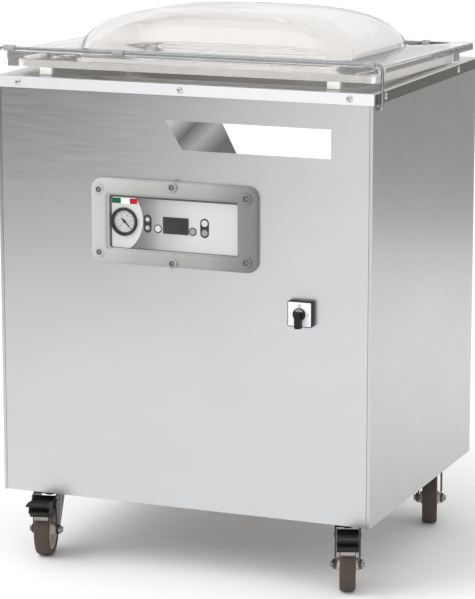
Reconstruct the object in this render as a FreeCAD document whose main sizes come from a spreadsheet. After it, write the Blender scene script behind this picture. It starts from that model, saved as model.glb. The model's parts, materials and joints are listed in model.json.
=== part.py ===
"""Floor-standing vacuum chamber sealer, built as a parametric document.

Frame: origin on the floor under the middle of the cabinet, X to the right, Y to the
back (the front panel faces -Y) and Z up, in millimetres.
"""
import FreeCAD, Part
import math
import os

import Sketcher
from FreeCAD import Placement, Rotation, Vector

DIMENSIONS = {
    # deck and cabinet
    "deck_width": 750,
    "deck_depth": 616,
    "deck_top": 931,
    "deck_lip": 22,
    "deck_sheet": 2,
    "cab_width": 744,
    "cab_depth": 610,
    "cab_bottom": 130,
    "cab_sheet": 1.5,
    "front_fold": 6,
    "tray_wall": 3,
    "tray_height": 40,
    "seam": 0.7,
    "rear_screw_x": 363,
    "vent_length": 90,
    "vent_pitch": 18,
    # chamber
    "chamber_width": 650,
    "chamber_front": 248,
    "chamber_back": 180,
    "chamber_corner": 45,
    "chamber_floor": 731,
    "flange_land": 20,
    "filler_height": 10,
    "port_radius": 16,
    # seal bar
    "bar_length": 600,
    "bar_depth": 24,
    "bar_middle": 228,
    "bar_bottom": 893,
    "bar_height": 33,
    "lift_spacing": 440,
    "lift_radius": 14,
    "rod_radius": 5,
    "slide_gap": 0.05,
    # lid, given shut, and its hinge
    "lid_width": 738,
    "lid_front": 277,
    "lid_back": 298,
    "lid_bottom": 933,
    "lid_plate_bottom": 947,
    "lid_plate_top": 961,
    "lid_skirt": 14,
    "skirt_back": 215,
    "lid_open": 1.25,
    "dome_width": 552,
    "dome_front": 170,
    "dome_back": 184,
    "dome_rise": 77,
    "dome_foot_corner": 31,
    "dome_crown_corner": 70,
    "dome_wall": 10,
    "dome_taper_x": 222,
    "dome_taper_y": 85,
    "hinge_y": 290,
    "hinge_z": 939,
    "hinge_spacing": 578,
    "knuckle_radius": 6,
    "pin_radius": 3,
    "bracket_sheet": 1.5,
    "pad_spacing": 572,
    "pad_width": 25,
    "pad_height": 13.7,
    "pad_depth": 13,
    # hold-down bail
    "bail_radius": 3,
    "bail_width": 762,
    "bail_top": 980,
    "bail_bar_y": -283.7,
    "bail_pivot_y": -285.3,
    "bail_pivot_z": 901,
    "sleeve_radius": 5.9,
    "sleeve_length": 23,
    # control panel
    "panel_x": -12,
    "panel_z": 670.5,
    "bezel_width": 334,
    "bezel_height": 160,
    "bezel_depth": 16,
    "bezel_corner": 22,
    "window_width": 257,
    "window_height": 100,
    "overlay_face": 311,
    "overlay_sheet": 1.5,
    "gauge_x": -111.4,
    "gauge_z": 670.7,
    "gauge_radius": 26.5,
    "key_face": 311.8,
    "key_hole_gap": 0.4,
    # main switch
    "switch_x": 239,
    "switch_z": 524,
    "switch_size": 48,
    "switch_depth": 14,
    "knob_radius": 12,
    "knob_shaft_radius": 3,
    # castors
    "caster_x": 307,
    "caster_front": -240,
    "caster_rear": 250,
    "wheel_radius": 50,
    "wheel_width": 30,
    "hub_radius": 39,
    "caster_trail": 38,
    "fork_inside": 42,
    "fork_sheet": 3,
    "axle_radius": 6,
    "kingpin_radius": 5,
    "pedal_pin_radius": 3,
    "pedal_pin_y": -48,
    "pedal_pin_z": 108,
    "pedal_width": 40.8,
    "shoe_width": 27.6,
}

doc = FreeCAD.newDocument("vacuum_chamber_sealer")


class Size:
    """A length as a number, with the sheet formula that gives it."""

    def __init__(self, value, text=None):
        self.value = float(value)
        self.text = text or repr(self.value)

    def __float__(self):
        return self.value

    def __neg__(self):
        return Size(-self.value, f"(-{self.text})")

    def __add__(self, other):
        return Size(self.value + float(other), f"({self.text} + {size(other).text})")

    def __sub__(self, other):
        return Size(self.value - float(other), f"({self.text} - {size(other).text})")

    def __mul__(self, other):
        return Size(self.value * float(other), f"({self.text} * {size(other).text})")

    def __truediv__(self, other):
        return Size(self.value / float(other), f"({self.text} / {size(other).text})")

    def __radd__(self, other):
        return size(other) + self

    def __rsub__(self, other):
        return size(other) - self

    def __rmul__(self, other):
        return size(other) * self


def size(value):
    """A plain number or a Size, as a Size."""
    return value if isinstance(value, Size) else Size(value)


class Dimensions:
    """The driving dimensions by name, each tied to its cell of the sheet."""

    def __init__(self):
        sheet = doc.addObject("Spreadsheet::Sheet", "dims")
        for row, (alias, value) in enumerate(DIMENSIONS.items(), start=1):
            sheet.set(f"A{row}", alias)
            sheet.set(f"B{row}", str(value))
            sheet.setAlias(f"B{row}", alias)
        doc.recompute()
        for alias in DIMENSIONS:
            setattr(self, alias, Size(sheet.get(alias), f"dims.{alias}"))


D = Dimensions()

TURN = {
    "X": Rotation(Vector(0, 1, 0), 90),
    "Y": Rotation(Vector(1, 0, 0), -90),
    "Z": Rotation(),
}
PARTS = []


# ---------------------------------------------------------------- building blocks

def bind(thing, **sizes):
    """Ties each property to its formula."""
    for name, value in sizes.items():
        thing.setExpression(name, size(value).text)


def place(thing, x, y, z, rotation=Rotation()):
    """Puts a thing at a point, tied to the sheet, after turning it."""
    thing.Placement = Placement(Vector(), rotation)
    for axis, value in zip("xyz", (x, y, z)):
        thing.setExpression(f"Placement.Base.{axis}", size(value).text)
    return thing


def block(name, x, y, z):
    """A block between two planes along each axis."""
    solid = doc.addObject("Part::Box", name)
    bind(solid, Length=size(x[1]) - x[0], Width=size(y[1]) - y[0], Height=size(z[1]) - z[0])
    return place(solid, x[0], y[0], z[0])


def rod(name, radius, start, length, axis="Z"):
    """A round bar of some length from its start point along an axis."""
    solid = doc.addObject("Part::Cylinder", name)
    bind(solid, Radius=radius, Height=length)
    return place(solid, *start, TURN[axis])


def taper(name, radius_start, radius_end, start, length, axis="Z"):
    """A round cone frustum from its start point along an axis."""
    solid = doc.addObject("Part::Cone", name)
    bind(solid, Radius1=radius_start, Radius2=radius_end, Height=length)
    return place(solid, *start, TURN[axis])


def fuse(name, pieces):
    """One solid made of several that touch."""
    joined = doc.addObject("Part::MultiFuse", name)
    joined.Shapes = pieces
    return joined


def group(name, pieces):
    """Separate solids kept together as one node."""
    together = doc.addObject("Part::Compound", name)
    together.Links = pieces
    return together


def cut(name, base, tools):
    """A solid with the tools' shapes removed."""
    result = doc.addObject("Part::Cut", name)
    result.Base = base
    result.Tool = tools[0] if len(tools) == 1 else group(f"{name}_tools", tools)
    return result


def feature(name, shape):
    """A shape made by Part's own functions."""
    made = doc.addObject("Part::Feature", name)
    made.Shape = shape
    return made


def is_along(edge, axis):
    """Whether a straight edge runs along an axis."""
    if not isinstance(edge.Curve, Part.Line):
        return False
    return abs(abs(edge.tangentAt(edge.FirstParameter).dot(axis)) - 1) < 1e-6


def edges_where(shape, rule):
    """The names of the edges that a rule picks."""
    return [f"Edge{index}" for index, edge in enumerate(shape.Edges, start=1) if rule(edge)]


def part_fillet(name, base, radius, rule):
    """A copy of a solid with the picked edges rounded."""
    doc.recompute()
    rounded = doc.addObject("Part::Fillet", name)
    rounded.Base = base
    picked = edges_where(base.Shape, rule)
    rounded.Edges = [(int(edge[4:]), float(radius), float(radius)) for edge in picked]
    return rounded


def publish(name, thing, placement=None):
    """Registers a finished sub-part under its own label."""
    thing.Label = name
    if placement is not None:
        thing.Placement = placement
    PARTS.append(thing)
    return thing


# ---------------------------------------------------------------- sketched parts

class SketchedBody:
    """A PartDesign body whose sketches lie on its own origin planes."""

    def __init__(self, name):
        self.body = doc.addObject("PartDesign::Body", name)

    def sketch(self, plane="XY_Plane", offset=0):
        """An empty sketch on an origin plane, moved along the plane's normal."""
        made = self.body.newObject("Sketcher::SketchObject", f"{self.body.Name}_sketch")
        planes = [item for item in self.body.Origin.OriginFeatures if item.Role == plane]
        made.AttachmentSupport = [(planes[0], "")]
        made.MapMode = "FlatFace"
        made.setExpression("AttachmentOffset.Base.z", size(offset).text)
        return made

    def pad(self, sketch, length, reverse=False):
        """Material from the sketch over a length."""
        made = self.body.newObject("PartDesign::Pad", f"{self.body.Name}_pad")
        made.Profile = sketch
        made.Reversed = reverse
        bind(made, Length=length)
        return made

    def pocket(self, sketch, length, reverse=False):
        """Material removed from the sketch over a length, against its normal."""
        doc.recompute()
        before = self.body.Shape.Volume
        made = self.body.newObject("PartDesign::Pocket", f"{self.body.Name}_pocket")
        made.Profile = sketch
        made.Reversed = reverse
        bind(made, Length=length)
        doc.recompute()
        if self.body.Shape.Volume > before - 1:
            raise RuntimeError(f"{self.body.Name}: a pocket removed nothing")
        return made

    def revolve(self, sketch):
        """A full turn of the sketch about its vertical axis."""
        made = self.body.newObject("PartDesign::Revolution", f"{self.body.Name}_revolution")
        made.Profile = sketch
        made.ReferenceAxis = (sketch, ["V_Axis"])
        made.Angle = 360
        return made

    def fillet(self, radius, rule):
        """Rounds the edges of the body that a rule picks."""
        doc.recompute()
        tip = self.body.Tip
        picked = edges_where(tip.Shape, rule)
        made = self.body.newObject("PartDesign::Fillet", f"{self.body.Name}_fillet")
        made.Base = (tip, picked)
        bind(made, Radius=radius)
        return made

    def loft(self, kind, sketches):
        """A smooth skin through several sketches, added or removed."""
        made = self.body.newObject(f"PartDesign::{kind}Loft", f"{self.body.Name}_loft")
        made.Profile = sketches[0]
        made.Sections = sketches[1:]
        return made

    def pattern(self, feature_to_repeat, sketch, axis, length, count):
        """Repeats a feature along one of its sketch's axes."""
        made = self.body.newObject("PartDesign::LinearPattern", f"{self.body.Name}_row")
        made.Originals = [feature_to_repeat]
        made.Direction = (sketch, [axis])
        made.Occurrences = count
        bind(made, Length=length)
        self.body.Tip = made
        return made


def fix_point(sketch, geometry, end, x, y):
    """Ties a sketch point to its two distances from the origin."""
    for kind, value in (("DistanceX", size(x)), ("DistanceY", size(y))):
        index = sketch.addConstraint(Sketcher.Constraint(kind, -1, 1, geometry, end, value.value))
        sketch.setExpression(f"Constraints[{index}]", value.text)


def vector(x, y):
    """A point in a sketch."""
    return Vector(float(x), float(y), 0)


def outline(sketch, points):
    """A closed outline of straight runs through the points."""
    first = sketch.GeometryCount
    last = first + len(points) - 1
    for start, end in zip(points, points[1:] + points[:1]):
        sketch.addGeometry(Part.LineSegment(vector(*start), vector(*end)))
    for index, point in enumerate(points):
        line = first + index
        following = line + 1 if line < last else first
        sketch.addConstraint(Sketcher.Constraint("Coincident", line, 2, following, 1))
        fix_point(sketch, line, 1, *point)
    return sketch


def rectangle(sketch, x, y):
    """A rectangle between two limits each way."""
    return outline(sketch, [(x[0], y[0]), (x[1], y[0]), (x[1], y[1]), (x[0], y[1])])


def circle(sketch, x, y, radius):
    """A circle with its centre and radius tied to the sheet."""
    made = sketch.addGeometry(Part.Circle(vector(x, y), Vector(0, 0, 1), float(radius)))
    fix_point(sketch, made, 3, x, y)
    index = sketch.addConstraint(Sketcher.Constraint("Radius", made, float(radius)))
    sketch.setExpression(f"Constraints[{index}]", size(radius).text)
    return sketch


def rounded_rectangle(sketch, x, y, radius):
    """A rectangle whose four corners are quarter circles."""
    left, right = size(x[0]), size(x[1])
    low, high = size(y[0]), size(y[1])
    r = size(radius)
    lines = [
        ((left + r, low), (right - r, low)),
        ((right, low + r), (right, high - r)),
        ((right - r, high), (left + r, high)),
        ((left, high - r), (left, low + r)),
    ]
    centres = [(right - r, low + r), (right - r, high - r), (left + r, high - r), (left + r, low + r)]
    first = sketch.GeometryCount
    for index, ((start, end), centre) in enumerate(zip(lines, centres)):
        sketch.addGeometry(Part.LineSegment(vector(*start), vector(*end)))
        full = Part.Circle(vector(*centre), Vector(0, 0, 1), float(r))
        from_angle = math.radians(90 * (index - 1))
        sketch.addGeometry(Part.ArcOfCircle(full, from_angle, from_angle + math.pi / 2))
    for index, (start, end) in enumerate(lines):
        line = first + 2 * index
        arc = line + 1
        following = first + (2 * index + 2) % 8
        fix_point(sketch, line, 1, *start)
        fix_point(sketch, line, 2, *end)
        sketch.addConstraint(Sketcher.Constraint("Coincident", arc, 1, line, 2))
        sketch.addConstraint(Sketcher.Constraint("Coincident", arc, 2, following, 1))
        bound = sketch.addConstraint(Sketcher.Constraint("Radius", arc, float(r)))
        sketch.setExpression(f"Constraints[{bound}]", r.text)
    return sketch


# ---------------------------------------------------------------- cabinet

CAB_SIDE = D.cab_width / 2
CAB_FRONT = -D.cab_depth / 2
CAB_BACK = D.cab_depth / 2
PANEL_EDGE = CAB_SIDE - D.front_fold - D.seam
LIP_BOTTOM = D.deck_top - D.deck_lip
LIP_SCREW_Z = D.deck_top - 11
LIP_SCREWS_X = [-328, 0, 328]
LIP_SCREWS_Y = [-247, 182]
SCREW_HOLE = 2.1
BEZEL_SCREWS = [(sx * 147, sz * 59) for sx in (-1, 1) for sz in (-1, 1)] + [(0, -71), (0, 71)]
REAR_SCREWS_Z = [200, 440, 680, 880]
GLAND_X = -250
GLAND_Z = 200


def lip_screw_bars():
    """Bars along every lip screw, used to drill the lip and the panels."""
    bars = []
    for x in LIP_SCREWS_X:
        for y in (-D.deck_depth / 2 - 1, D.deck_depth / 2 - 7):
            bars.append(rod("lip_drill", SCREW_HOLE, (x, y, LIP_SCREW_Z), 8, "Y"))
    for y in LIP_SCREWS_Y:
        for x in (-D.deck_width / 2 - 1, D.deck_width / 2 - 7):
            bars.append(rod("lip_drill", SCREW_HOLE, (x, y, LIP_SCREW_Z), 8, "X"))
    return bars


def bezel_screw_bars():
    """Bars along every bezel screw, used to drill the bezel and the front panel."""
    start = CAB_FRONT - D.bezel_depth - 1
    return [
        rod("bezel_drill", SCREW_HOLE, (D.panel_x + x, start, D.panel_z + z), D.bezel_depth + 6, "Y")
        for x, z in BEZEL_SCREWS
    ]


def base_tray():
    """A folded tray that the machinery and the castors bolt to."""
    inner = CAB_SIDE - D.cab_sheet
    front, back = CAB_FRONT + 14, CAB_BACK - 3
    top = D.cab_bottom + D.tray_height
    outer = block("tray_outer", (-inner, inner), (front, back), (D.cab_bottom, top))
    inside = block(
        "tray_inside",
        (-inner + D.tray_wall, inner - D.tray_wall),
        (front + D.tray_wall, back - D.tray_wall),
        (D.cab_bottom + D.tray_wall, top + 1),
    )
    publish("base_tray", cut("tray", outer, [inside]))


def front_panel():
    """The front sheet with its folded sides, window and switch hole."""
    made = SketchedBody("front_sheet")
    section = made.sketch("XY_Plane", D.cab_bottom + 1)
    inner = PANEL_EDGE - D.cab_sheet
    skin = CAB_FRONT + D.cab_sheet
    fold = CAB_FRONT + 12
    outline(section, [
        (-PANEL_EDGE, CAB_FRONT), (PANEL_EDGE, CAB_FRONT), (PANEL_EDGE, fold), (inner, fold),
        (inner, skin), (-inner, skin), (-inner, fold), (-PANEL_EDGE, fold),
    ])
    made.pad(section, LIP_BOTTOM + 16 - D.cab_bottom - 1)
    openings = made.sketch("XZ_Plane", -CAB_FRONT - 5)
    half_w, half_h = D.window_width / 2 + 3, D.window_height / 2 + 3
    rectangle(openings, (D.panel_x - half_w, D.panel_x + half_w), (D.panel_z - half_h, D.panel_z + half_h))
    circle(openings, D.switch_x, D.switch_z, 11.5)
    made.pocket(openings, 10, reverse=True)
    publish("front_panel", cut("front_drilled", made.body, lip_screw_bars() + bezel_screw_bars()))


def side_panel(name, side):
    """A side sheet folded round the front and back corners of the cabinet."""
    made = SketchedBody(f"{name}_sheet")
    section = made.sketch("XY_Plane", D.cab_bottom)
    outside, inside = side * CAB_SIDE, side * (CAB_SIDE - D.cab_sheet)
    front_end, back_end = side * (CAB_SIDE - D.front_fold), side * (CAB_SIDE - 15)
    outline(section, [
        (front_end, CAB_FRONT), (outside, CAB_FRONT), (outside, CAB_BACK), (back_end, CAB_BACK),
        (back_end, CAB_BACK - D.cab_sheet), (inside, CAB_BACK - D.cab_sheet),
        (inside, CAB_FRONT + D.cab_sheet), (front_end, CAB_FRONT + D.cab_sheet),
    ])
    made.pad(section, D.deck_top - D.deck_sheet - D.cab_bottom)
    at_side = side * CAB_SIDE - 4
    bail_hole = rod("bail_hole", 3.5, (at_side, D.bail_pivot_y, D.bail_pivot_z), 8, "X")
    publish(name, cut(f"{name}_drilled", made.body, lip_screw_bars() + rear_screw_bars() + [bail_hole]))


def rear_screw_bars():
    """Bars along the screws that hold the rear panel."""
    return [
        rod("rear_drill", SCREW_HOLE, (side * D.rear_screw_x, CAB_BACK - 6, z), 8, "Y")
        for side in (-1, 1) for z in REAR_SCREWS_Z
    ]


def rear_panel():
    """The rear sheet with two columns of air slots and the cable's hole."""
    made = SketchedBody("rear_sheet")
    sheet = made.sketch("XZ_Plane", -(CAB_BACK - D.cab_sheet))
    edge = CAB_SIDE - D.cab_sheet - D.seam
    rectangle(sheet, (-edge, edge), (D.cab_bottom + D.tray_height / 10, LIP_BOTTOM + 16))
    circle(sheet, GLAND_X, GLAND_Z, 8.2)
    made.pad(sheet, D.cab_sheet)
    for middle in (-110, 110):
        slot = made.sketch("XZ_Plane", -(CAB_BACK - D.cab_sheet))
        half = D.vent_length / 2
        rounded_rectangle(slot, (middle - half, middle + half), (300, 306), 2.9)
        first = made.pocket(slot, 5, reverse=True)
        made.body.Tip = first
        made.pattern(first, slot, "V_Axis", 9 * D.vent_pitch, 10)
    publish("rear_panel", cut("rear_drilled", made.body, lip_screw_bars() + rear_screw_bars()))


def top_deck():
    """The folded deck with its turned-down lip and the chamber opening."""
    made = SketchedBody("deck_sheet_body")
    half_w, half_d = D.deck_width / 2, D.deck_depth / 2
    solid = made.sketch("XY_Plane", LIP_BOTTOM)
    rounded_rectangle(solid, (-half_w, half_w), (-half_d, half_d), 5)
    made.pad(solid, D.deck_lip)
    made.fillet(2.5, lambda edge: edge.BoundBox.ZMin > float(D.deck_top) - 0.01)
    under = made.sketch("XY_Plane", LIP_BOTTOM)
    inside_w, inside_d = half_w - D.deck_sheet, half_d - D.deck_sheet
    rounded_rectangle(under, (-inside_w, inside_w), (-inside_d, inside_d), 3)
    made.pocket(under, D.deck_lip - D.deck_sheet, reverse=True)
    opening = made.sketch("XY_Plane", LIP_BOTTOM)
    chamber_outline(opening, 0)
    made.pocket(opening, D.deck_lip + 1, reverse=True)
    publish("top_deck", cut("deck_drilled", made.body, lip_screw_bars()))


def chamber_outline(sketch, grow, corner_grow=None):
    """The chamber's plan, grown outwards by a distance."""
    half = D.chamber_width / 2 + grow
    corner = D.chamber_corner + (grow if corner_grow is None else corner_grow)
    rounded_rectangle(sketch, (-half, half), (-D.chamber_front - grow, D.chamber_back + grow), corner)


def chamber_tub():
    """The deep-drawn chamber with its flange under the deck and the air port."""
    made = SketchedBody("tub")
    flange_top = D.deck_top - D.deck_sheet
    flange = made.sketch("XY_Plane", flange_top - 2)
    chamber_outline(flange, D.flange_land)
    made.pad(flange, 2)
    walls = made.sketch("XY_Plane", D.chamber_floor - 2)
    chamber_outline(walls, 2)
    made.pad(walls, flange_top - D.chamber_floor)
    inside = made.sketch("XY_Plane", D.chamber_floor)
    chamber_outline(inside, 0)
    made.pocket(inside, flange_top - D.chamber_floor + 1, reverse=True)
    port = made.sketch("XY_Plane", D.chamber_floor - 3)
    circle(port, PORT_X, PORT_Y, D.port_radius)
    made.pocket(port, 4, reverse=True)
    publish("chamber_tub", made.body)


def dome_screw(head_radius, head_height, shank_radius, shank_length, slot_width):
    """A slotted dome-head screw whose head sits on Z = 0 and whose shank goes down."""
    bulge = (head_radius ** 2 + head_height ** 2) / (2 * head_height)
    rim = 0.35
    arc_middle = Vector(head_radius * 0.62, 0, head_height * 0.72 + rim)
    edges = [
        Part.LineSegment(Vector(0, 0, -shank_length), Vector(shank_radius, 0, -shank_length)).toShape(),
        Part.LineSegment(Vector(shank_radius, 0, -shank_length), Vector(shank_radius, 0, 0)).toShape(),
        Part.LineSegment(Vector(shank_radius, 0, 0), Vector(head_radius, 0, 0)).toShape(),
        Part.LineSegment(Vector(head_radius, 0, 0), Vector(head_radius, 0, rim)).toShape(),
        Part.Arc(Vector(head_radius, 0, rim), arc_middle, Vector(0, 0, head_height + rim)).toShape(),
        Part.LineSegment(Vector(0, 0, head_height + rim), Vector(0, 0, -shank_length)).toShape(),
    ]
    solid = Part.Face(Part.Wire(edges)).revolve(Vector(), Vector(0, 0, 1), 360)
    length = 2 * min(head_radius, bulge)
    slot_corner = Vector(-length / 2, -slot_width / 2, head_height * 0.5)
    slot = Part.makeBox(length, slot_width, head_height, slot_corner)
    return solid.cut(slot)


def aimed(shape, at, rotation, spin=0):
    """A copy of a shape turned about its own Z axis, then aimed and moved."""
    copy = shape.copy()
    base = Vector(*[float(value) for value in at])
    copy.Placement = Placement(base, rotation.multiply(Rotation(Vector(0, 0, 1), spin)))
    return copy


FACING = {
    "front": Rotation(Vector(1, 0, 0), 90),
    "back": Rotation(Vector(1, 0, 0), -90),
    "left": Rotation(Vector(0, 1, 0), -90),
    "right": Rotation(Vector(0, 1, 0), 90),
    "up": Rotation(),
    "down": Rotation(Vector(1, 0, 0), 180),
}


def cabinet_screws():
    """Every screw of the deck lip and the rear panel."""
    screw = dome_screw(6.5, 2.6, 1.95, 5.5, 1.4)
    half_w, half_d = float(D.deck_width) / 2, float(D.deck_depth) / 2
    screws = []
    for index, x in enumerate(LIP_SCREWS_X):
        screws.append(aimed(screw, (x, -half_d, LIP_SCREW_Z), FACING["front"], 25 + 40 * index))
        screws.append(aimed(screw, (x, half_d, LIP_SCREW_Z), FACING["back"], 70 - 30 * index))
    for index, y in enumerate(LIP_SCREWS_Y):
        screws.append(aimed(screw, (-half_w, y, LIP_SCREW_Z), FACING["left"], 15 + 50 * index))
        screws.append(aimed(screw, (half_w, y, LIP_SCREW_Z), FACING["right"], 60 - 35 * index))
    small = dome_screw(5, 2.2, 1.95, 5, 1.2)
    for side in (-1, 1):
        for index, z in enumerate(REAR_SCREWS_Z):
            screws.append(aimed(small, (side * D.rear_screw_x, CAB_BACK, z), FACING["back"], 33 * index))
    publish("cabinet_screws", feature("screws", Part.makeCompound(screws)))


# ---------------------------------------------------------------- chamber fittings

PORT_X = 150
PORT_Y = 120
LIFTER_TOP = D.bar_bottom - 13
ROD_BOTTOM = D.chamber_floor + 29


def filler_plates():
    """Two loose plates that raise the bag and save pump time."""
    plates = []
    for layer in (0, 1):
        low = D.chamber_floor + layer * D.filler_height
        slab = block("filler_slab", (-290, 110), (-195, 165), (low, low + D.filler_height))
        plates.append(part_fillet("filler_plate", slab, 12, lambda edge: is_along(edge, Vector(0, 0, 1))))
    publish("filler_plates", group("fillers", plates))


def lift_cylinders():
    """Two small air cylinders on the chamber floor that push the seal bar up."""
    cylinders = []
    for side in (-1, 1):
        x = side * D.lift_spacing / 2
        standing = (x, -D.bar_middle, D.chamber_floor)
        case = rod("lift_case", D.lift_radius, standing, LIFTER_TOP - D.chamber_floor)
        foot = rod("lift_foot", D.lift_radius + 4, standing, 6)
        bore_depth = LIFTER_TOP - ROD_BOTTOM + 9
        bore_radius = D.rod_radius + D.slide_gap
        bore = rod("lift_bore", bore_radius, (x, -D.bar_middle, LIFTER_TOP - bore_depth), bore_depth + 1)
        cylinders.append(cut("lift_cylinder", fuse("lift_outer", [case, foot]), [bore]))
    publish("lift_cylinders", group("lifters", cylinders))


def seal_bar():
    """The sealing bar, a channel-backed beam on its two lift rods."""
    made = SketchedBody("bar_beam")
    section = made.sketch("YZ_Plane", -D.bar_length / 2)
    top = D.bar_bottom + D.bar_height
    half = D.bar_depth / 2
    middle = -D.bar_middle
    outline(section, [
        (middle - half, D.bar_bottom), (middle + half, D.bar_bottom), (middle + half, top - 8),
        (middle + 6, top), (middle - 6, top), (middle - half, top - 8),
    ])
    made.pad(section, D.bar_length)
    rod_length = D.bar_bottom - ROD_BOTTOM + 4
    rods = [
        rod("lift_rod", D.rod_radius, (side * D.lift_spacing / 2, middle, ROD_BOTTOM), rod_length)
        for side in (-1, 1)
    ]
    publish("seal_bar", fuse("bar_and_rods", [made.body] + rods))


def seal_bar_tape():
    """The non-stick tape over the heating band."""
    top = D.bar_bottom + D.bar_height
    middle = -D.bar_middle
    half = D.bar_length / 2 - 10
    publish("seal_bar_tape", block("tape", (-half, half), (middle - 6, middle + 6), (top, top + 0.8)))


# ---------------------------------------------------------------- control panel

BEZEL_FRONT = CAB_FRONT - D.bezel_depth
KEYS = {
    "key_plus": (-64.6, 677.6, 6),
    "key_minus": (-64.6, 661.9, 6),
    "key_program": (-43.8, 661.5, 6.75),
    "key_select": (25.9, 660.4, 6.5),
    "key_pump": (49.4, 677.2, 6.5),
    "key_stop": (49.4, 659.4, 6.5),
}
DISPLAY_X = (-33.4, 17.5)
DISPLAY_Z = (653.5, 684.5)


def control_bezel():
    """The rounded plastic frame round the control panel."""
    made = SketchedBody("bezel_frame")
    outer = made.sketch("XZ_Plane", -CAB_FRONT)
    half_w, half_h = D.bezel_width / 2, D.bezel_height / 2
    rounded_rectangle(outer, (D.panel_x - half_w, D.panel_x + half_w),
                      (D.panel_z - half_h, D.panel_z + half_h), D.bezel_corner)
    made.pad(outer, D.bezel_depth)
    front = float(BEZEL_FRONT)
    made.fillet(6, lambda edge: edge.BoundBox.YMax < front + 0.01)
    window = made.sketch("XZ_Plane", -BEZEL_FRONT)
    half_w, half_h = D.window_width / 2, D.window_height / 2
    rounded_rectangle(window, (D.panel_x - half_w, D.panel_x + half_w),
                      (D.panel_z - half_h, D.panel_z + half_h), 5)
    made.pocket(window, D.bezel_depth + 1)
    rebate = made.sketch("XZ_Plane", -CAB_FRONT)
    rounded_rectangle(rebate, (D.panel_x - half_w - 3, D.panel_x + half_w + 3),
                      (D.panel_z - half_h - 3, D.panel_z + half_h + 3), 6)
    made.pocket(rebate, 6, reverse=True)
    publish("control_bezel", cut("bezel_drilled", made.body, bezel_screw_bars()))


def bezel_screws():
    """The six screws of the control bezel."""
    screw = dome_screw(4.4, 1.9, 1.95, float(D.bezel_depth) + 3, 1.1)
    screws = [
        aimed(screw, (D.panel_x + x, BEZEL_FRONT, D.panel_z + z), FACING["front"], 35 * index)
        for index, (x, z) in enumerate(BEZEL_SCREWS)
    ]
    publish("bezel_screws", feature("panel_screws", Part.makeCompound(screws)))


def control_overlay():
    """The printed panel behind the bezel's window, with holes for the controls."""
    made = SketchedBody("overlay_sheet")
    back = -D.overlay_face + D.overlay_sheet
    sheet = made.sketch("XZ_Plane", -back)
    half_w, half_h = D.window_width / 2 + 2.5, D.window_height / 2 + 2.5
    rounded_rectangle(sheet, (D.panel_x - half_w, D.panel_x + half_w),
                      (D.panel_z - half_h, D.panel_z + half_h), 5.5)
    circle(sheet, D.gauge_x, D.gauge_z, D.gauge_radius - 1.5)
    for x, z, radius in KEYS.values():
        circle(sheet, x, z, radius + D.key_hole_gap)
    rectangle(sheet, (DISPLAY_X[0] + 1, DISPLAY_X[1] - 1), (DISPLAY_Z[0] + 1, DISPLAY_Z[1] - 1))
    made.pad(sheet, D.overlay_sheet)
    publish("control_overlay", made.body)


def display_module():
    """The display's window frame in front of the panel and its module behind."""
    back = -D.overlay_face + D.overlay_sheet
    frame = block("display_frame", DISPLAY_X, (-D.overlay_face - 1, -D.overlay_face), DISPLAY_Z)
    inner_x = (DISPLAY_X[0] + 1.2, DISPLAY_X[1] - 1.2)
    inner_z = (DISPLAY_Z[0] + 1.2, DISPLAY_Z[1] - 1.2)
    neck = block("display_neck", inner_x, (-D.overlay_face, back + 6), inner_z)
    publish("display_module", fuse("display", [frame, neck]))


def gauge_case():
    """The vacuum gauge: bezel ring, dial face with the needle's pivot, and case behind."""
    x, z = D.gauge_x, D.gauge_z
    face = -D.overlay_face
    ring = rod("gauge_ring", D.gauge_radius, (x, face - 3.4, z), 3.4, "Y")
    case = rod("gauge_body", D.gauge_radius - 1.8, (x, face, z), 24, "Y")
    fitting = rod("gauge_fitting", 5, (x, face + 24, z), 12, "Y")
    shell = fuse("gauge_outer", [ring, case, fitting])
    hollow = rod("gauge_hollow", D.gauge_radius - 3.2, (x, face - 4, z), 5, "Y")
    pivot = rod("gauge_pivot", 1.2, (x, face - 1.2, z), 3, "Y")
    publish("gauge_case", fuse("gauge", [cut("gauge_cup", shell, [hollow]), pivot]))


def gauge_lens():
    """The clear window of the gauge, held in the mouth of its ring."""
    start = (D.gauge_x, -D.overlay_face - 3.2, D.gauge_z)
    publish("gauge_lens", rod("lens", D.gauge_radius - 3.2, start, 1, "Y"))


def gauge_needle():
    """The pointer on its pivot, with a short tail."""
    made = SketchedBody("pointer")
    pointer = made.sketch("XZ_Plane")
    outline(pointer, [
        (-2, 1.4), (-8, 1.1), (-8, -1.1), (-2, -1.4), (2, -1.1), (18, -0.35), (18, 0.35), (2, 1.1),
    ])
    made.pad(pointer, 0.5)
    hub = made.sketch("XZ_Plane")
    circle(hub, 0, 0, 3)
    made.pad(hub, 0.9)
    bore = made.sketch("XZ_Plane", -1)
    circle(bore, 0, 0, 1.25)
    made.pocket(bore, 3, reverse=True)
    rest = Rotation(Vector(0, 1, 0), 45)
    at = Vector(float(D.gauge_x), -float(D.overlay_face) - 0.25, float(D.gauge_z))
    publish("gauge_needle", made.body, Placement(at, rest))


def keys():
    """Each key cap is its own piece and travels on its own."""
    front = -float(D.key_face)
    for name, (x, z, radius) in KEYS.items():
        cap = rod(f"{name}_cap", radius, (x, -D.key_face, z), 3.6, "Y")
        rounded = part_fillet(f"{name}_round", cap, 0.5, lambda edge: edge.BoundBox.YMax < front + 0.01)
        publish(name, rounded)


def control_board():
    """The circuit board behind the panel, with its relay and connector."""
    x = (D.panel_x - 60, D.panel_x + 125)
    z = (D.panel_z - 45, D.panel_z + 45)
    board = block("board", x, (-301.5, -299.9), z)
    relay = block("relay", (60, 88), (-299.9, -281), (640, 658))
    plug = block("connector", (-40, -5), (-299.9, -290), (700, 709))
    chip = block("controller_chip", (10, 24), (-299.9, -297.5), (660, 674))
    publish("control_board", fuse("board_assembly", [board, relay, plug, chip]))


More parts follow.
